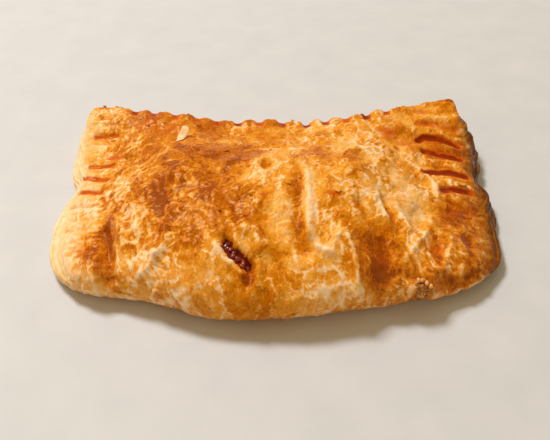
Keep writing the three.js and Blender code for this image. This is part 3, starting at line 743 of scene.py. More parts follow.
# Tones of the dimple, of the foot and of the bands along the edges
DIMPLE_TONES = dict(ring=-0.34, pit=0.24)
FOOT_BAND = dict(height=4.0, fade=3.0, tone=-0.25)
# The right band's darker tone is painted shade, the crown's shadow over the band
EDGE_BANDS = dict(left=(7.0, -0.5), right=(13.0, 0.22), back=(9.0, 0.14))

# Browning of the cut sides along x; the dark towards the right side is partly painted shade
CUT_TONES = [dict(start=-70.0, length=45.0, high=0.12), dict(start=30.0, length=35.0, high=0.88)]

# Loose leaves lie on the skin down to this share of the side
OPEN_SKIN_LOWEST = 0.6


def skin_directions(normal):
    """Directions across the skin and along it towards the front."""
    along = np.cross([1.0, 0.0, 0.0], normal)
    along /= max(np.linalg.norm(along), 1e-9)
    return np.cross(normal, along), along


def skin_leaves(plain, normals, form):
    """Thickness, tone and pale lips that the thin leaves add."""
    rise = np.zeros(len(plain))
    tone = np.zeros(len(plain))
    lips = np.zeros(len(plain))
    ragged = fields(plain, LEAF_RAGGED)
    choice = np.flatnonzero((form["cut"] < 0.5) & (form["down"] < LEAF_LOWEST))
    for i in range(LEAVES["count"]):
        draw = draws(i, LEAVES["seed"], 10)
        centre = choice[int(draw[0] * len(choice))]
        reach = between(LEAVES, draw[1] ** 2)
        offset = plain - plain[centre]
        near = np.flatnonzero(np.abs(offset).max(axis=1) < 2 * reach)
        offset = offset[near]
        across, along = skin_directions(normals[centre])
        turn = LEAVES["turn"] * (draw[2] - 0.5)
        a = offset @ (across * math.cos(turn) + along * math.sin(turn))
        b = offset @ (along * math.cos(turn) - across * math.sin(turn)) / (1 + LEAVES["stretch"] * draw[3])
        angle = np.arctan2(b, a)
        waves = sum(depth * np.sin(count * angle + ANY_TURN * draw[k]) for count, depth, k in LEAF_WAVES)
        inside = reach * (1 + waves) - np.hypot(a, b) + ragged[near]
        share = ease(inside / LEAVES["edge"])
        thickness = mix(LEAVES["thin"], LEAVES["thick"], draw[7])
        lip = hump((inside - LEAF_LIP["place"]) / LEAF_LIP["width"])
        if draw[8] < TORN_LEAF["share"]:
            rise[near] -= TORN_LEAF["sink"] * thickness * share
            own_tone = TORN_LEAF["tone"] + TORN_LEAF["spread"] * draw[9]
            tone[near] = mix(tone[near], own_tone, TORN_LEAF["cover"] * share)
        else:
            curl = lip * ease(0.5 + np.cos(angle - ANY_TURN * draw[6]))
            rise[near] += thickness * (share + LYING_LEAF["curl"] * curl)
            own_tone = LYING_LEAF["spread"] * (draw[9] - LYING_LEAF["paler_share"])
            tone[near] = mix(tone[near], own_tone, LYING_LEAF["cover"] * share)
        covered = lips[near] * (1 - LEAF_LIP["worn"] * share)
        lips[near] = np.maximum(covered, lip * mix(LEAF_LIP["least"], 1, draw[5]))
    return rise, tone, lips


def wrinkles(points):
    """Relief and pale crests of the fine creases."""
    shifted = points.copy()
    shifted[:, 0] += WRINKLE["wander"] * field(points, WRINKLE["wander_size"], WRINKLE["seed"])
    crest = (1 - np.abs(field(shifted * WRINKLE_STRETCH, WRINKLE["size"], WRINKLE["seed"] + 2))) ** 3
    to_front = ease((WRINKLE_FADE["start"] - points[:, 1]) / WRINKLE_FADE["length"])
    where = patchy(points, **WRINKLED) * mix(WRINKLE_FADE["at_back"], 1, to_front)
    return WRINKLE["rise"] * where * (crest - WRINKLE["level"]), where * crest


def crackle(points):
    """Small sharp ridges that break up the glaze."""
    ridge = 1 - np.abs(field(points, CRACKLE["size"], CRACKLE["seed"]))
    grain = CRACKLE["grain"] * field(points, CRACKLE["grain_size"], CRACKLE["seed"] + 2)
    return CRACKLE["rise"] * (ridge**2 - CRACKLE["level"] + grain)


def band_layers(form, points):
    """Where the left and right bands are, and the layer lines that run along their marks."""
    edge = np.minimum(form["left"], form["right"])
    where = ease((BAND_LAYERS["reach"] - edge) / BAND_LAYERS["fade"])
    wander = BAND_LAYERS["wander"] * field(points, BAND_LAYERS["wander_size"], BAND_LAYERS["seed"])
    level = points * BAND_STRETCH + wander[:, None]
    return where, field(level, BAND_LAYERS["size"], BAND_LAYERS["seed"] + 3)


def puffed_plates(points):
    """Relief, pale rims, dark creases and each plate's own tone."""
    shifted = bent(points, PLATE["wander"], PLATE["wander_size"], PLATE["seed"])
    near, second, draw = cells(shifted * PLATE_STRETCH, PLATE["size"], PLATE["seed"])
    border = second - near
    where = patchy(points, **PUFFED)
    crease = hump(border / PLATE_CREASE["width"]) * where * patchy(points, **CREASED)
    rim = hump((border - PLATE_RIM["place"]) / PLATE_RIM["width"]) * where
    puff = ease(border / PLATE["shoulder"]) * where * mix(PLATE["least"], 1.0, draw)
    relief = PLATE["rise"] * (puff - 0.5 * where) - PLATE_CREASE["depth"] * crease
    return relief, rim, crease, (draw - 0.5) * where


def fold_crests(points):
    """Thin crests that wander along the raised folds and break off here and there."""
    shifted = bent(points, CREST["bend"], CREST["bend_size"], CREST["seed"])
    raised = [path for _, rise, path in FOLDS if rise > 0] + CREST_LINES
    crest = np.max([hump(distance_to_fold(shifted, path) / CREST["width"]) for path in raised], axis=0)
    return crest * patchy(points, **CRESTED)


def small_blisters(points):
    total = 0
    for kind in SMALL_BLISTERS:
        near, _, draw = cells(points, kind["size"], kind["seed"])
        dome = clamp(1 - (near / kind["radius"]) ** 2) ** 1.5
        total = total + kind["rise"] * dome * ease((draw - kind["start"]) / kind["spread"])
    return total


def cut_layers(form, points):
    """Leaves of dough at the cut sides: relief and depth of the gaps between them."""
    level = (points[:, 2] + fields(points, LAYER_WANDER)) / LAYER["pitch"]
    leaf = np.floor(level)
    share = level - leaf
    along = [form["round"] + LAYER_SHIFT["along"] * leaf, LAYER_SHIFT["up"] * leaf, np.zeros(len(leaf))]
    gap = hump(share / LAYER["gap_width"]) + hump((1 - share) / LAYER["gap_width"])
    body = ease(share / LAYER["edge"]) * ease((1 - share) / LAYER["edge"])
    return LAYER["rise"] * fields(np.stack(along, 1), LAYER_REACH) * body - LAYER["gap"] * gap, gap


def tear_depth(points):
    """How deep the tear is sunk, from 0 to 1."""
    nearest = distance_to_fold(points, TEAR, TEAR_WIDTHS)
    return hump(clamp(nearest + fields(points, TEAR_RAGGED), 0, 3) ** 3)


def rise_along_x(points, start, length, low=0.0, high=1.0):
    return mix(low, high, ease((points[:, 0] - start) / length))


def crust_tones(plain, form, parts):
    """Browning of every point of the skin, with painted shade in the hollows, grooves and right band, and
    painted highlight along the middle ridge.
    """
    tone = BASE_TONE + weighed(parts, TONE_SHARES) + sum(patches(plain, TONE_PATCHES))
    for amount, stretch, cloud in TONE_CLOUDS:
        tone += amount * layered_field(plain * np.array(stretch), **cloud)
    for width, rise, path in FOLDS:
        own_tone = FOLD_TONES["raised" if rise > 0 else "groove"]
        tone += own_tone * hump(distance_to_fold(plain, path) / (FOLD_TONES["width"] * width))
    for width, own_tone, path in STREAKS:
        tone += own_tone * hump(distance_to_path(plain, path) / width)
    from_dimple = distance_to(plain, DIMPLE["middle"])
    tone += DIMPLE_TONES["ring"] * hump((from_dimple - DIMPLE["radius"]) / DIMPLE["ring_width"])
    tone += DIMPLE_TONES["pit"] * hump(from_dimple / DIMPLE["pit_radius"])
    near_foot = ease((FOOT_BAND["height"] - plain[:, 2]) / FOOT_BAND["fade"]) * (form["down"] > 0)
    tone += FOOT_BAND["tone"] * near_foot
    for side, (reach, own_tone) in EDGE_BANDS.items():
        tone += own_tone * ease((reach - form[side]) / reach)
    return tone - DARK_EASING * np.maximum(tone - DARK_START, 0)


def crust_burn(points, marks_burn):
    """How far the skin is scorched: the marks, and where it has baked to a deeper red-orange."""
    mottle = BURN_MOTTLE["contrast"] * field(points, BURN_MOTTLE["size"], BURN_MOTTLE["seed"])
    reddened = np.max(list(patches(points, REDDENED)), axis=0) * patchy(points * RED_STRETCH, **BAKED_RED)
    return clamp(np.maximum(marks_burn * (BURN_MOTTLE["level"] + mottle), reddened))


def crust_paleness(points, parts, fine):
    """How pale the skin is along thin lips, crests, rims and the middle ridge, but not in grooves: partly
    its own paleness, partly painted highlight on raised, lit places.
    """
    pale = ease((weighed(parts, PALE_SHARES) - PALE_START["start"]) / PALE_START["spread"])
    pale *= ease(PALE_RISE["level"] + fine / PALE_RISE["full"])
    off = distance_to_path(points, RIDGE_HIGHLIGHT_PATH) / RIDGE_HIGHLIGHT["width"] + fields(points, RIDGE_RAGGED)
    ridge = RIDGE_HIGHLIGHT["pale"] * patchy(points * FLAKE_STRETCH, **FLAKED) * hump(off)
    grooves = [hump(distance_to_fold(points, path) / width) for width, rise, path in FOLDS if rise < 0]
    return np.maximum(pale, ridge) * (1 - GROOVE_COVER * np.max(grooves, axis=0))


def fine_relief(plain, normals, form, burn):
    """Relief finer than the solid's, the gaps at the cut sides, and what gives the skin its tones."""
    calm = hump(distance_to(plain, CALM["middle"]) / CALM["radius"])
    leaves, leaf_tone, lips = skin_leaves(plain, normals, form)
    creases, crests = wrinkles(plain)
    blisters = small_blisters(plain)
    layers, gaps = cut_layers(form, plain)
    on_band, lines = band_layers(form, plain)
    plates, rims, dark_creases, plate_tones = puffed_plates(plain)
    fold_crest = fold_crests(plain)
    flaky = (1 - CALM["flakes"] * calm) * (leaves + blisters + crackle(plain))
    flaky += (1 + CALM["plates"] * calm) * plates + CREST["rise"] * fold_crest
    flaky = (1 - BAND_LAYERS["flatter"] * on_band) * flaky + BAND_LAYERS["rise"] * on_band * lines
    fine = (1 - form["cut"]) * ((1 - clamp(burn)) * flaky + (1 - CALM["creases"] * calm) * creases)
    fine += form["cut"] * rise_along_x(plain, **LAYER_GROWTH) * layers
    parts = dict(leaf_tone=leaf_tone, lips=lips, crests=crests, blisters=blisters, lines=on_band * lines)
    parts.update(rims=(1 + CALM["rims"] * calm) * rims, dark_creases=dark_creases)
    parts.update(fold_crests=fold_crest, plate_tones=plate_tones)
    return fine, gaps, parts


def crust_shape():
    """Points, faces, attributes and open skin of the crust, in millimetres round its middle."""
    form, faces = plain_form()
    plain = np.stack([form["x"], form["y"], form["z"]], 1)
    normals = vertex_normals(plain, faces)
    marks, burn = mark_relief(form)
    blisters = blister_relief(plain)
    swells = field(plain, **LUMP) * LUMP["rise"] + field(plain, **RIPPLE) * RIPPLE["rise"]
    swells += sum(patches(plain, MOUNDS))
    big = swells + fold_relief(plain) + dimple_relief(plain)
    big += blisters * (1 - form["cut"]) + marks + leaf_relief(plain) * form["cut"]
    fine, gaps, parts = fine_relief(plain, normals, form, burn)
    tear = tear_depth(plain)
    rise = (big + fine * (1 - tear) - TEAR_SINK * tear) * form["fade"]
    points = plain + normals * rise[:, None]
    points[:, 2] = np.maximum(points[:, 2], 0)
    parts.update(bubbles=clamp(blisters), swells=np.clip(swells, -SWELL_LIMIT, SWELL_LIMIT))
    attributes = dict(
        tone=crust_tones(plain, form, parts),
        pale=crust_paleness(plain, parts, fine),
        burn=crust_burn(plain, burn),
        cut=form["cut"],
        cut_browning_and_shade=sum(rise_along_x(plain, **step) for step in CUT_TONES),
        gap=clamp(gaps) * form["cut"] * rise_along_x(plain, **GAP_GROWTH),
        tear=tear,
    )
    open_skin = (form["cut"] < 0.5) & (form["down"] < OPEN_SKIN_LOWEST)
    return points - OUTLINE_MIDDLE, faces, attributes, open_skin


# Loose leaves, crumbs of baked filling and the filling in the tear

LOOSE_LEAVES = dict(
    count=55, least=0.7, most=1.9, narrowest=0.45, widest=0.85, thick=0.08, bays=0.26,
    lift=0.55, least_lift=0.25, above=0.05, paler=0.12, seed=211,
)
STANDING_LEAF = dict(
    place=[-33.5, 24.0], length=3.3, width=1.6, thick=0.25, bays=[0.14, 0.3, 0.7],
    taper=0.55, turn=-1.21, lift=3.4, above=0.35, tone=0.0, pale=0.75,
)
FILLING_LUMPS = dict(
    count=16, least=0.6, most=1.15, crowding=1.3, stray=0.8, full_width=1.4, above=0.25, seed=223,
)
LEAK = dict(
    place=[42.8, -44.4, 9.5], reach=[4.4, 3.0, 2.8], count=44, least=0.4, most=1.0,
    above=0.25, light=0.1, dark=0.9, seed=227,
)

# Rings and spokes of each leaf's mesh and of each lump's
LEAF_RINGS = 4
LEAF_SPOKES = 14
LUMP_RINGS = 8
LUMP_SPOKES = 12

# The shape of the leaves: finer bays, phases, where the curl starts, the dish and how far the edge thins
LEAF_FORM = dict(fine=0.6, phase=9, corner=50, curl_start=-0.6, dish=0.12, thinning=0.6)

# The shape of the lumps
LUMP_FORM = dict(size=0.9, unevenness=0.28, shift=3.0)
FILLING_RADII = np.array([1.2, 0.9, 0.7])
CRUMB_RADII = np.array([1.0, 0.8, 0.7])
FIRST_CRUMB_SEED = 40
UPWARDS = np.array([0.0, 0.0, 1.0])


def leaf_shell(reach, width_share, bays, curl, thickness, taper=0.0):
    """A thin irregular leaf round the origin, lying in x and y, curling up and widening towards +x."""
    depth, first, second = bays
    phase, corner = LEAF_FORM["phase"], LEAF_FORM["corner"]
    spokes = np.arange(LEAF_SPOKES)
    angles = spokes * 2 * math.pi / LEAF_SPOKES
    waves = np.sin(2 * angles + phase * first) + LEAF_FORM["fine"] * np.sin(5 * angles + phase * second)
    outline = 1 + depth * (waves + scatter(spokes, corner * first, corner * second) - 0.5)
    share = np.arange(1, LEAF_RINGS + 1)[:, None] / LEAF_RINGS
    x = np.append((share * outline * np.cos(angles)).ravel() * reach, 0.0)
    y = np.append((share * outline * np.sin(angles)).ravel() * reach * width_share, 0.0)
    y *= 1 + taper * x / reach
    curled = ease((x / reach - LEAF_FORM["curl_start"]) / (1 - LEAF_FORM["curl_start"])) ** 2
    z = curl * (curled - LEAF_FORM["dish"] * (y / reach) ** 2)
    edge = np.append(np.repeat(share, LEAF_SPOKES), 0.0)
    half = 0.5 * thickness * (1 - LEAF_FORM["thinning"] * edge)
    points = np.concatenate([np.stack([x, y, z + half], 1), np.stack([x, y, z - half], 1)])
    rows = np.arange(LEAF_RINGS * LEAF_SPOKES).reshape(LEAF_RINGS, LEAF_SPOKES)
    below = rows.size + 1
    upper = np.concatenate(fan(rows.size, rows[0]) + bands(rows))
    return points, np.concatenate([upper, upper[:, ::-1] + below] + bands([rows[-1], rows[-1] + below]))


def lump(radii, seed):
    """A small uneven lump round the origin."""
    polar = math.pi * np.arange(1, LUMP_RINGS)[:, None] / LUMP_RINGS
    turn = 2 * math.pi * np.arange(LUMP_SPOKES) / LUMP_SPOKES
    across = np.sin(polar)
    rings = np.broadcast_arrays(across * np.cos(turn), across * np.sin(turn), np.cos(polar))
    ball = np.concatenate([[[0, 0, 1]], np.stack(rings, 2).reshape(-1, 3), [[0, 0, -1]]])
    unevenness = LUMP_FORM["unevenness"] * field(ball + LUMP_FORM["shift"] * seed, LUMP_FORM["size"], seed)
    rows = 1 + np.arange(rings[0].size).reshape(-1, LUMP_SPOKES)
    faces = fan(0, rows[0]) + bands(rows) + fan(len(ball) - 1, rows[-1][::-1])
    return ball * (1 + unevenness)[:, None] * radii, np.concatenate(faces)


def joined(shapes):
    """One set of points, faces and tones from several (points, faces, tone)."""
    points, faces, tones = [], [], []
    count = 0
    for own_points, own_faces, tone in shapes:
        points.append(own_points)
        faces.append(own_faces + count)
        tones.append(np.full(len(own_points), float(tone)))
        count += len(own_points)
    return np.concatenate(points), np.concatenate(faces), dict(tone=np.concatenate(tones))


def laid_on(shape, place, normal, turn):
    """Turns a shape's +z to the normal and moves it to the place."""
    across, along = skin_directions(normal)
    a = across * math.cos(turn) + along * math.sin(turn)
    b = np.cross(normal, a)
    return shape @ np.stack([a, b, normal]) + place


def loose_leaves(points, normals, skin, tones):
    """Small leaves that curl up from the skin, set at scattered points of it and browned a little less."""
    shapes = []
    places = np.flatnonzero(skin)
    for i in range(LOOSE_LEAVES["count"]):
        draw = draws(i, LOOSE_LEAVES["seed"], 8)
        spot = places[int(draw[0] * len(places))]
        reach = between(LOOSE_LEAVES, draw[1] ** 2)
        curl = LOOSE_LEAVES["lift"] * (LOOSE_LEAVES["least_lift"] + draw[2]) * reach / LOOSE_LEAVES["most"]
        width_share = mix(LOOSE_LEAVES["narrowest"], LOOSE_LEAVES["widest"], draw[3])
        bays = [LOOSE_LEAVES["bays"], draw[4], draw[5]]
        shell, faces = leaf_shell(reach, width_share, bays, curl, LOOSE_LEAVES["thick"])
        place = points[spot] + LOOSE_LEAVES["above"] * normals[spot]
        laid = laid_on(shell, place, normals[spot], 2 * math.pi * draw[6])
        shapes.append((laid, faces, tones[spot] - LOOSE_LEAVES["paler"] * draw[7]))
    return joined(shapes)


def nearest_point(points, place):
    """The point of the top that lies nearest in plan; points low on the sides are kept out of it."""
    off = points[:, :2] + OUTLINE_MIDDLE[:2] - np.array(place[:2])
    low = points[:, 2] < 0.5 * EDGE_HEIGHT
    return int(np.argmin(np.where(low, np.inf, np.hypot(off[:, 0], off[:, 1]))))


def standing_leaf(points, normals):
    leaf = STANDING_LEAF
    spot = nearest_point(points, leaf["place"])
    width_share = leaf["width"] / leaf["length"]
    rest = [leaf[name] for name in ("bays", "lift", "thick", "taper")]
    shell, faces = leaf_shell(leaf["length"], width_share, *rest)
    laid = laid_on(shell, points[spot] + leaf["above"] * normals[spot], normals[spot], leaf["turn"])
    points, faces, attributes = joined([(laid, faces, leaf["tone"])])
    attributes["pale"] = np.full(len(points), leaf["pale"])
    return points, faces, attributes


def tear_filling(points):
    """Lumps of filling that lie on the floor of the tear, closer together towards its front end."""
    path = np.array(TEAR)
    shapes = []
    for i in range(FILLING_LUMPS["count"]):
        draw = draws(i, FILLING_LUMPS["seed"], 5)
        along = 2 * (1 - (1 - (i + 0.5) / FILLING_LUMPS["count"]) ** FILLING_LUMPS["crowding"])
        step = min(int(along), 1)
        width = mix(TEAR_WIDTHS[step], TEAR_WIDTHS[step + 1], along - step)
        stray = FILLING_LUMPS["stray"] * width * np.array([draw[0] - 0.5, draw[1] - 0.5, 0.0])
        place = mix(path[step], path[step + 1], along - step) + stray
        floor = points[nearest_point(points, place)]
        size = between(FILLING_LUMPS, draw[2])
        shape, faces = lump(FILLING_RADII * size * min(width / FILLING_LUMPS["full_width"], 1.0), i + 1)
        centre = np.append(place[:2] - OUTLINE_MIDDLE[:2], floor[2] + FILLING_LUMPS["above"])
        shapes.append((laid_on(shape, centre, UPWARDS, ANY_TURN * draw[3]), faces, draw[4]))
    return joined(shapes)


def leaked_filling(points, normals):
    """Crusty crumbs of filling that baked on where it leaked out over the front."""
    off = np.linalg.norm((points + OUTLINE_MIDDLE - LEAK["place"]) / LEAK["reach"], axis=1)
    places = np.flatnonzero(off < 1)
    places = places[np.argsort(off[places], kind="stable")]
    shapes = []
    for i in range(LEAK["count"]):
        draw = draws(i, LEAK["seed"], 4)
        spot = places[int(draw[0] * len(places))]
        size = between(LEAK, draw[1] ** 2)
        shape, faces = lump(CRUMB_RADII * size, FIRST_CRUMB_SEED + i)
        place = points[spot] + LEAK["above"] * size * normals[spot]
        tone = mix(LEAK["light"], LEAK["dark"], draw[3])
        shapes.append((laid_on(shape, place, normals[spot], ANY_TURN * draw[2]), faces, tone))
    return joined(shapes)


def linked(name, data):
    piece = bpy.data.objects.new(name, data)
    bpy.context.scene.collection.objects.link(piece)
    return piece


def mesh_object(name, points, faces, attributes):
    mesh = bpy.data.meshes.new(name)
    mesh.vertices.add(len(points))
    mesh.vertices.foreach_set("co", (points * MM).astype(np.float32).ravel())
    mesh.loops.add(faces.size)
    mesh.loops.foreach_set("vertex_index", faces.astype(np.int32).ravel())
    mesh.polygons.add(len(faces))
    mesh.polygons.foreach_set("loop_start", np.arange(0, faces.size, 3, dtype=np.int32))
    mesh.polygons.foreach_set("use_smooth", np.ones(len(faces), dtype=bool))
    mesh.update(calc_edges=True)
    for key, values in attributes.items():
        mesh.attributes.new(key, "FLOAT", "POINT").data.foreach_set("value", values.astype(np.float32))
    mesh.validate()
    return linked(name, mesh)


# Materials


class Graph:
    """Short calls that add and link shader nodes."""

    def __init__(self, name):
        self.material = bpy.data.materials.new(name)
        self.material.use_nodes = True
        self.tree = self.material.node_tree
        self.shader = self.tree.nodes["Principled BSDF"]

    def node(self, kind, inputs=None, **settings):
        made = self.tree.nodes.new(kind)
        for key, value in settings.items():
            setattr(made, key, value)
        for key, value in (inputs or {}).items():
            self.feed(made.inputs[key], value)
        return made

    def feed(self, socket, value):
        if isinstance(value, bpy.types.NodeSocket):
            self.tree.links.new(value, socket)
        else:
            socket.default_value = (*value, 1) if socket.type == "RGBA" else value

    def attribute(self, name):
        return self.node("ShaderNodeAttribute", attribute_name=name).outputs["Fac"]

    def maths(self, operation, *values, clamped=False):
        made = self.node("ShaderNodeMath", operation=operation, use_clamp=clamped)
        for socket, value in zip(made.inputs, values):
            self.feed(socket, value)
        return made.outputs[0]

    def blend(self, share, a, b):
        made = self.node("ShaderNodeMix", data_type="RGBA")
        factor = next(socket for socket in made.inputs if socket.name == "Factor" and socket.type == "VALUE")
        first, second = [socket for socket in made.inputs if socket.type == "RGBA"]
        self.feed(factor, share)
        self.feed(first, a)
        self.feed(second, b)
        return next(socket for socket in made.outputs if socket.type == "RGBA")

    def noise(self, scale, detail=3.0, rough=0.55, stretch=None):
        place = self.node("ShaderNodeTexCoord").outputs["Object"]
        if stretch:
            place = self.node("ShaderNodeMapping", {"Vector": place, "Scale": stretch}).outputs["Vector"]
        inputs = {"Vector": place, "Scale": scale, "Detail": detail, "Roughness": rough}
        return self.node("ShaderNodeTexNoise", inputs).outputs["Fac"]

    def vector_maths(self, operation, inputs):
        return self.node("ShaderNodeVectorMath", inputs, operation=operation).outputs[0]

    def flakes(self, scale, warp, stretch):
        """Random number and distance to the border of scattered plates with wandering borders."""
        place = self.node("ShaderNodeTexCoord").outputs["Object"]
        inputs = {"Vector": place, "Scale": FLAKE_BEND["scale"] * scale, "Detail": FLAKE_BEND["detail"]}
        bend = self.node("ShaderNodeTexNoise", inputs).outputs["Color"]
        bend = self.vector_maths("ADD", {0: bend, 1: (-0.5, -0.5, -0.5)})
        bend = self.vector_maths("SCALE", {0: bend, "Scale": warp})
        place = self.vector_maths("ADD", {0: place, 1: bend})
        place = self.node("ShaderNodeMapping", {"Vector": place, "Scale": stretch}).outputs["Vector"]
        inputs = {"Vector": place, "Scale": scale}
        plates = self.node("ShaderNodeTexVoronoi", inputs)
        border = self.node("ShaderNodeTexVoronoi", inputs, feature="DISTANCE_TO_EDGE")
        draw = self.node("ShaderNodeSeparateColor", {"Color": plates.outputs["Color"]}).outputs[0]
        return draw, border.outputs["Distance"]

    def ramp(self, value, stops):
        made = self.node("ShaderNodeValToRGB")
        ramp = made.color_ramp
        while len(ramp.elements) < len(stops):
            ramp.elements.new(0.5)
        for element, (place, colour) in zip(ramp.elements, stops):
            element.position = place
            element.color = (*colour, 1)
        self.feed(made.inputs["Fac"], value)
        return made.outputs["Color"]

    def range(self, value, low, high, to_low=0.0, to_high=1.0):
        made = self.node("ShaderNodeMapRange", {"Value": value})
        for key, number in (("From Min", low), ("From Max", high), ("To Min", to_low), ("To Max", to_high)):
            made.inputs[key].default_value = number
        return made.outputs["Result"]

    def bump(self, height, distance, strength, normal=None):
        made = self.node("ShaderNodeBump", {"Height": height, "Strength": strength, "Distance": distance})
        if normal is not None:
            self.feed(made.inputs["Normal"], normal)
        return made.outputs["Normal"]

    def set(self, **values):
        for key, value in values.items():
            self.feed(self.shader.inputs[key.replace("_", " ")], value)


CREAM = (1.0, 0.72, 0.5)
PALE_GOLD = (0.95, 0.5, 0.15)
LIGHT_GOLD = (0.90, 0.4, 0.05)
GOLDEN = (0.80, 0.30, 0.012)
AMBER = (0.65, 0.19, 0.003)
DARK_AMBER = (0.49, 0.108, 0.001)
BROWN = (0.32, 0.055, 0.0005)
SCORCHED = (0.64, 0.105, 0.002)
BURNT = (0.29, 0.026, 0.002)
DOUGH = (1.0, 0.78, 0.53)
BAKED_DOUGH = (0.95, 0.58, 0.22)
# The right cut side's dark brown is partly browning and partly painted shade
BROWNED_AND_SHADED_DOUGH = (0.085, 0.014, 0.0007)
CRUMB = (0.66, 0.32, 0.09)
DARK_CRUMB = (0.42, 0.15, 0.03)
DARK_FILLING = (0.07, 0.006, 0.004)
FILLING = (0.20, 0.014, 0.009)
LIGHT_FILLING = (0.30, 0.035, 0.012)
BUTTER = (1.0, 0.72, 0.18)
BROWNING = [
    (0.0, PALE_GOLD),
    (0.26, LIGHT_GOLD),
    (0.46, GOLDEN),
    (0.66, AMBER),
    (0.88, DARK_AMBER),
    (1.0, BROWN),
]


# Textures of the crust
BLOTCHES = dict(scale=420.0, detail=4.0, rough=0.65)
FRECKLES = dict(scale=1300.0, detail=3.0, rough=0.6)
# The finest flecks are painted glints
PAINTED_GLINTS = dict(scale=1900.0, detail=2.0, rough=0.6, stretch=(1.0, 0.6, 1.0))
WIDE_FLAKES = dict(scale=230.0, warp=0.004, stretch=(1.0, 0.55, 0.8))
SMALL_FLAKES = dict(scale=520.0, warp=0.0022, stretch=(1.0, 0.6, 0.8))
FLAKE_BEND = dict(scale=0.9, detail=3.0)

# Ranges of textures and attributes: from low to high, and what these become
TEXTURE_TONES = [(0.3, 0.7, -0.13, 0.13), (0.3, 0.7, -0.12, 0.12), (0, 1, -0.07, 0.07), (0, 1, -0.09, 0.09)]
WIDE_EDGE = (0.0, 0.045, 0.9, 0.0)
SMALL_EDGE = (0.0, 0.06, 0.75, 0.0)
EDGE_PATCHES = (0.44, 0.54)
PAINTED_GLINT_STEP = (0.6, 0.7)
CREAM_ON_TONE = (0.1, 0.5, 0.95, 0.0)
BAKED_DOUGH_PATCHES = (0.44, 0.64, 0.0, 0.7)
GAP_SHADE = (0.3, 1.0, 0.0, 0.5)
BURNT_STEP = (0.5, 0.8)
SCORCHED_STEP = (0.1, 0.4)
TEAR_STEP = (0.35, 0.75)
GLAZE_ROUGHNESS = (0.1, 0.7, 0.38, 0.27)

# How pale the edges are, how much the painted glint flecks add to paleness, and how much paleness lightens
# the tone. The edges are pale flake edges and partly painted highlight
EDGE_PALENESS = 0.6
PAINTED_GLINT_PALENESS = 0.4
PALE_LIGHTENING = 0.38

# Heights in metres and strengths of the finest bumps; the wide plates' share in the last one
CRUST_BUMPS = dict(freckles=(0.0001, 0.8), blotches=(0.0003, 0.6), plates=(0.0003, 0.9))
WIDE_SHARE = 0.6


def crust_material():
    graph = Graph("baked_pastry")
    blotches = graph.noise(**BLOTCHES)
    freckles = graph.noise(**FRECKLES)
    wide, wide_border = graph.flakes(**WIDE_FLAKES)
    small, small_border = graph.flakes(**SMALL_FLAKES)
    edges = graph.maths("ADD", graph.range(wide_border, *WIDE_EDGE), graph.range(small_border, *SMALL_EDGE))
    edges = graph.maths("MULTIPLY", edges, graph.range(blotches, *EDGE_PATCHES))
    painted_glints = graph.range(graph.noise(**PAINTED_GLINTS), *PAINTED_GLINT_STEP)
    tone = graph.attribute("tone")
    for texture, tones in zip((blotches, freckles, wide, small), TEXTURE_TONES):
        tone = graph.maths("ADD", tone, graph.range(texture, *tones))
    # Paleness: the edges, the painted glint flecks and the pale attribute, which is partly the skin's own
    # paleness and partly painted highlight
    pale = graph.maths("MULTIPLY_ADD", edges, EDGE_PALENESS, graph.attribute("pale"))
    pale = graph.maths("MULTIPLY_ADD", painted_glints, PAINTED_GLINT_PALENESS, pale, clamped=True)
    tone = graph.maths("MULTIPLY_ADD", pale, -PALE_LIGHTENING, tone)
    cream = graph.maths("MULTIPLY", pale, graph.range(tone, *CREAM_ON_TONE))
    skin = graph.blend(cream, graph.ramp(tone, BROWNING), CREAM)
    colour = graph.blend(graph.attribute("cut"), skin, cut_colour(graph, blotches))
    burn = graph.attribute("burn")
    scorch = graph.blend(graph.range(burn, *BURNT_STEP), SCORCHED, BURNT)
    colour = graph.blend(graph.range(burn, *SCORCHED_STEP), colour, scorch)
    colour = graph.blend(graph.range(graph.attribute("tear"), *TEAR_STEP), colour, FILLING)
    plates = graph.maths("MULTIPLY_ADD", wide, WIDE_SHARE, graph.maths("MULTIPLY", small, 1 - WIDE_SHARE))
    normal = graph.bump(freckles, *CRUST_BUMPS["freckles"])
    normal = graph.bump(blotches, *CRUST_BUMPS["blotches"], normal)
    normal = graph.bump(plates, *CRUST_BUMPS["plates"], normal)
    roughness = graph.range(tone, *GLAZE_ROUGHNESS)
    graph.set(Base_Color=colour, Roughness=roughness, Normal=normal, Coat_Normal=normal)
    graph.set(Specular_IOR_Level=0.23, Specular_Tint=BUTTER, Coat_Weight=0.02, Coat_Roughness=0.1)
    graph.set(Subsurface_Weight=0.15, Subsurface_Radius=(1.0, 0.4, 0.1), Subsurface_Scale=0.0012)
    return graph.material


def cut_colour(graph, blotches):
    """Colour of the layers at the cut sides, darkening towards the right with browning and painted shade."""
    dough = graph.blend(graph.range(blotches, *BAKED_DOUGH_PATCHES), DOUGH, BAKED_DOUGH)
    layers = graph.blend(graph.attribute("cut_browning_and_shade"), dough, BROWNED_AND_SHADED_DOUGH)
    return graph.blend(graph.range(graph.attribute("gap"), *GAP_SHADE), layers, AMBER)


def filling_material():
    graph = Graph("baked_filling")
    grain = graph.noise(1500.0)
    tone = graph.maths("ADD", graph.attribute("tone"), graph.range(grain, 0.3, 0.7, -0.2, 0.2))
    colour = graph.ramp(tone, [(0.0, DARK_FILLING), (0.6, FILLING), (1.0, LIGHT_FILLING)])
    graph.set(Base_Color=colour, Roughness=0.22, Normal=graph.bump(grain, 0.0003, 0.6))
    graph.set(Specular_IOR_Level=0.5, Coat_Weight=0.4, Coat_Roughness=0.1)
    return graph.material


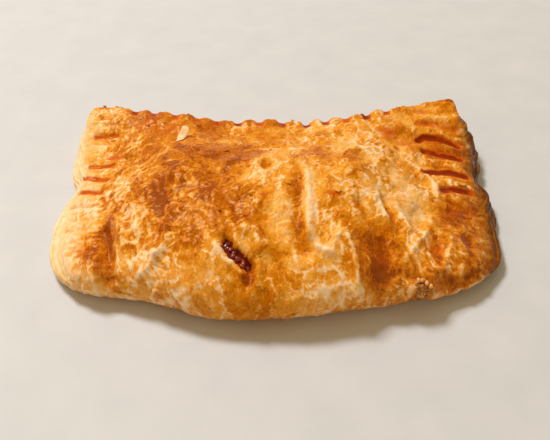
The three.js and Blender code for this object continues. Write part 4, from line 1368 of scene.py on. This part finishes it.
def leak_material():
    graph = Graph("leaked_filling")
    grain = graph.noise(1100.0, detail=4.0)
    tone = graph.maths("ADD", graph.attribute("tone"), graph.range(grain, 0.3, 0.7, -0.25, 0.25))
    colour = graph.ramp(tone, [(0.0, PALE_GOLD), (0.3, CRUMB), (0.65, DARK_CRUMB), (1.0, BROWN)])
    graph.set(Base_Color=colour, Roughness=0.6, Normal=graph.bump(grain, 0.0004, 0.8))
    return graph.material


# Set, light and camera

# The photo's camera, which looks at the origin that the form above is worked out from
LOOK_AT = Vector(-OUTLINE_MIDDLE * MM)
CAMERA_DISTANCE = 0.2537
CAMERA_ELEVATION = math.radians(40.7)
CAMERA_TURN = math.radians(2.2)
FOCAL_PIXELS = 700.0
PHOTO_WIDTH = 550.0
SENSOR_WIDTH = 36.0
NEAREST_SEEN = 0.01

# A pale floor, a warm dim studio and one soft window behind the pie at the left
FLOOR_SIZE = 4.0
FLOOR_COLOURS = [(0.3, (0.60, 0.61, 0.72)), (0.7, (0.64, 0.65, 0.76))]
STUDIO = dict(colour=(1.0, 0.80, 0.42, 1), strength=0.5)
WINDOW = dict(place=(-0.6, 0.7, 1.4), size=0.4, power=22.5, colour=(1.0, 0.97, 0.88))


def aimed(name, data, target, place):
    """A camera or light at a place that is given from its target, turned towards it."""
    piece = linked(name, data)
    piece.location = target + place
    piece.rotation_euler = (-place).to_track_quat("-Z", "Y").to_euler()
    return piece


def add_camera():
    camera = bpy.data.cameras.new("camera")
    camera.sensor_width = SENSOR_WIDTH
    camera.lens = FOCAL_PIXELS / PHOTO_WIDTH * SENSOR_WIDTH
    camera.clip_start = NEAREST_SEEN
    ground = CAMERA_DISTANCE * math.cos(CAMERA_ELEVATION)
    up = CAMERA_DISTANCE * math.sin(CAMERA_ELEVATION)
    place = Vector((-ground * math.sin(CAMERA_TURN), -ground * math.cos(CAMERA_TURN), up))
    bpy.context.scene.camera = aimed("camera", camera, LOOK_AT, place)


def add_window():
    light = bpy.data.lights.new("window", "AREA")
    light.shape = "RECTANGLE"
    light.size = light.size_y = WINDOW["size"]
    light.energy = WINDOW["power"]
    light.color = WINDOW["colour"]
    aimed("window", light, Vector((0, 0, 0)), Vector(WINDOW["place"]))


def add_set():
    bpy.ops.mesh.primitive_plane_add(size=FLOOR_SIZE)
    floor = bpy.context.object
    floor.name = "floor"
    graph = Graph("pale_floor")
    graph.set(Base_Color=graph.ramp(graph.noise(60.0), FLOOR_COLOURS), Roughness=0.6)
    floor.data.materials.append(graph.material)
    world = bpy.data.worlds.new("studio")
    world.use_nodes = True
    background = world.node_tree.nodes["Background"]
    background.inputs["Color"].default_value = STUDIO["colour"]
    background.inputs["Strength"].default_value = STUDIO["strength"]
    bpy.context.scene.world = world
    add_window()
    bpy.context.scene.view_settings.view_transform = "Standard"


def add_piece(name, shape, material):
    piece = mesh_object(name, *shape)
    piece.data.materials.append(material)
    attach(piece, "root")
    return piece


points, faces, attributes, open_skin = crust_shape()
normals = vertex_normals(points, faces)
pastry = crust_material()
crust = add_piece("pie_crust", (points, faces, attributes), pastry)
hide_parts("pie")
add_piece("loose_leaves", loose_leaves(points, normals, open_skin, attributes["tone"]), pastry)
add_piece("standing_leaf", standing_leaf(points, normals), pastry)
add_piece("tear_filling", tear_filling(points), filling_material())
add_piece("leaked_filling", leaked_filling(points, normals), leak_material())
add_set()
add_camera()
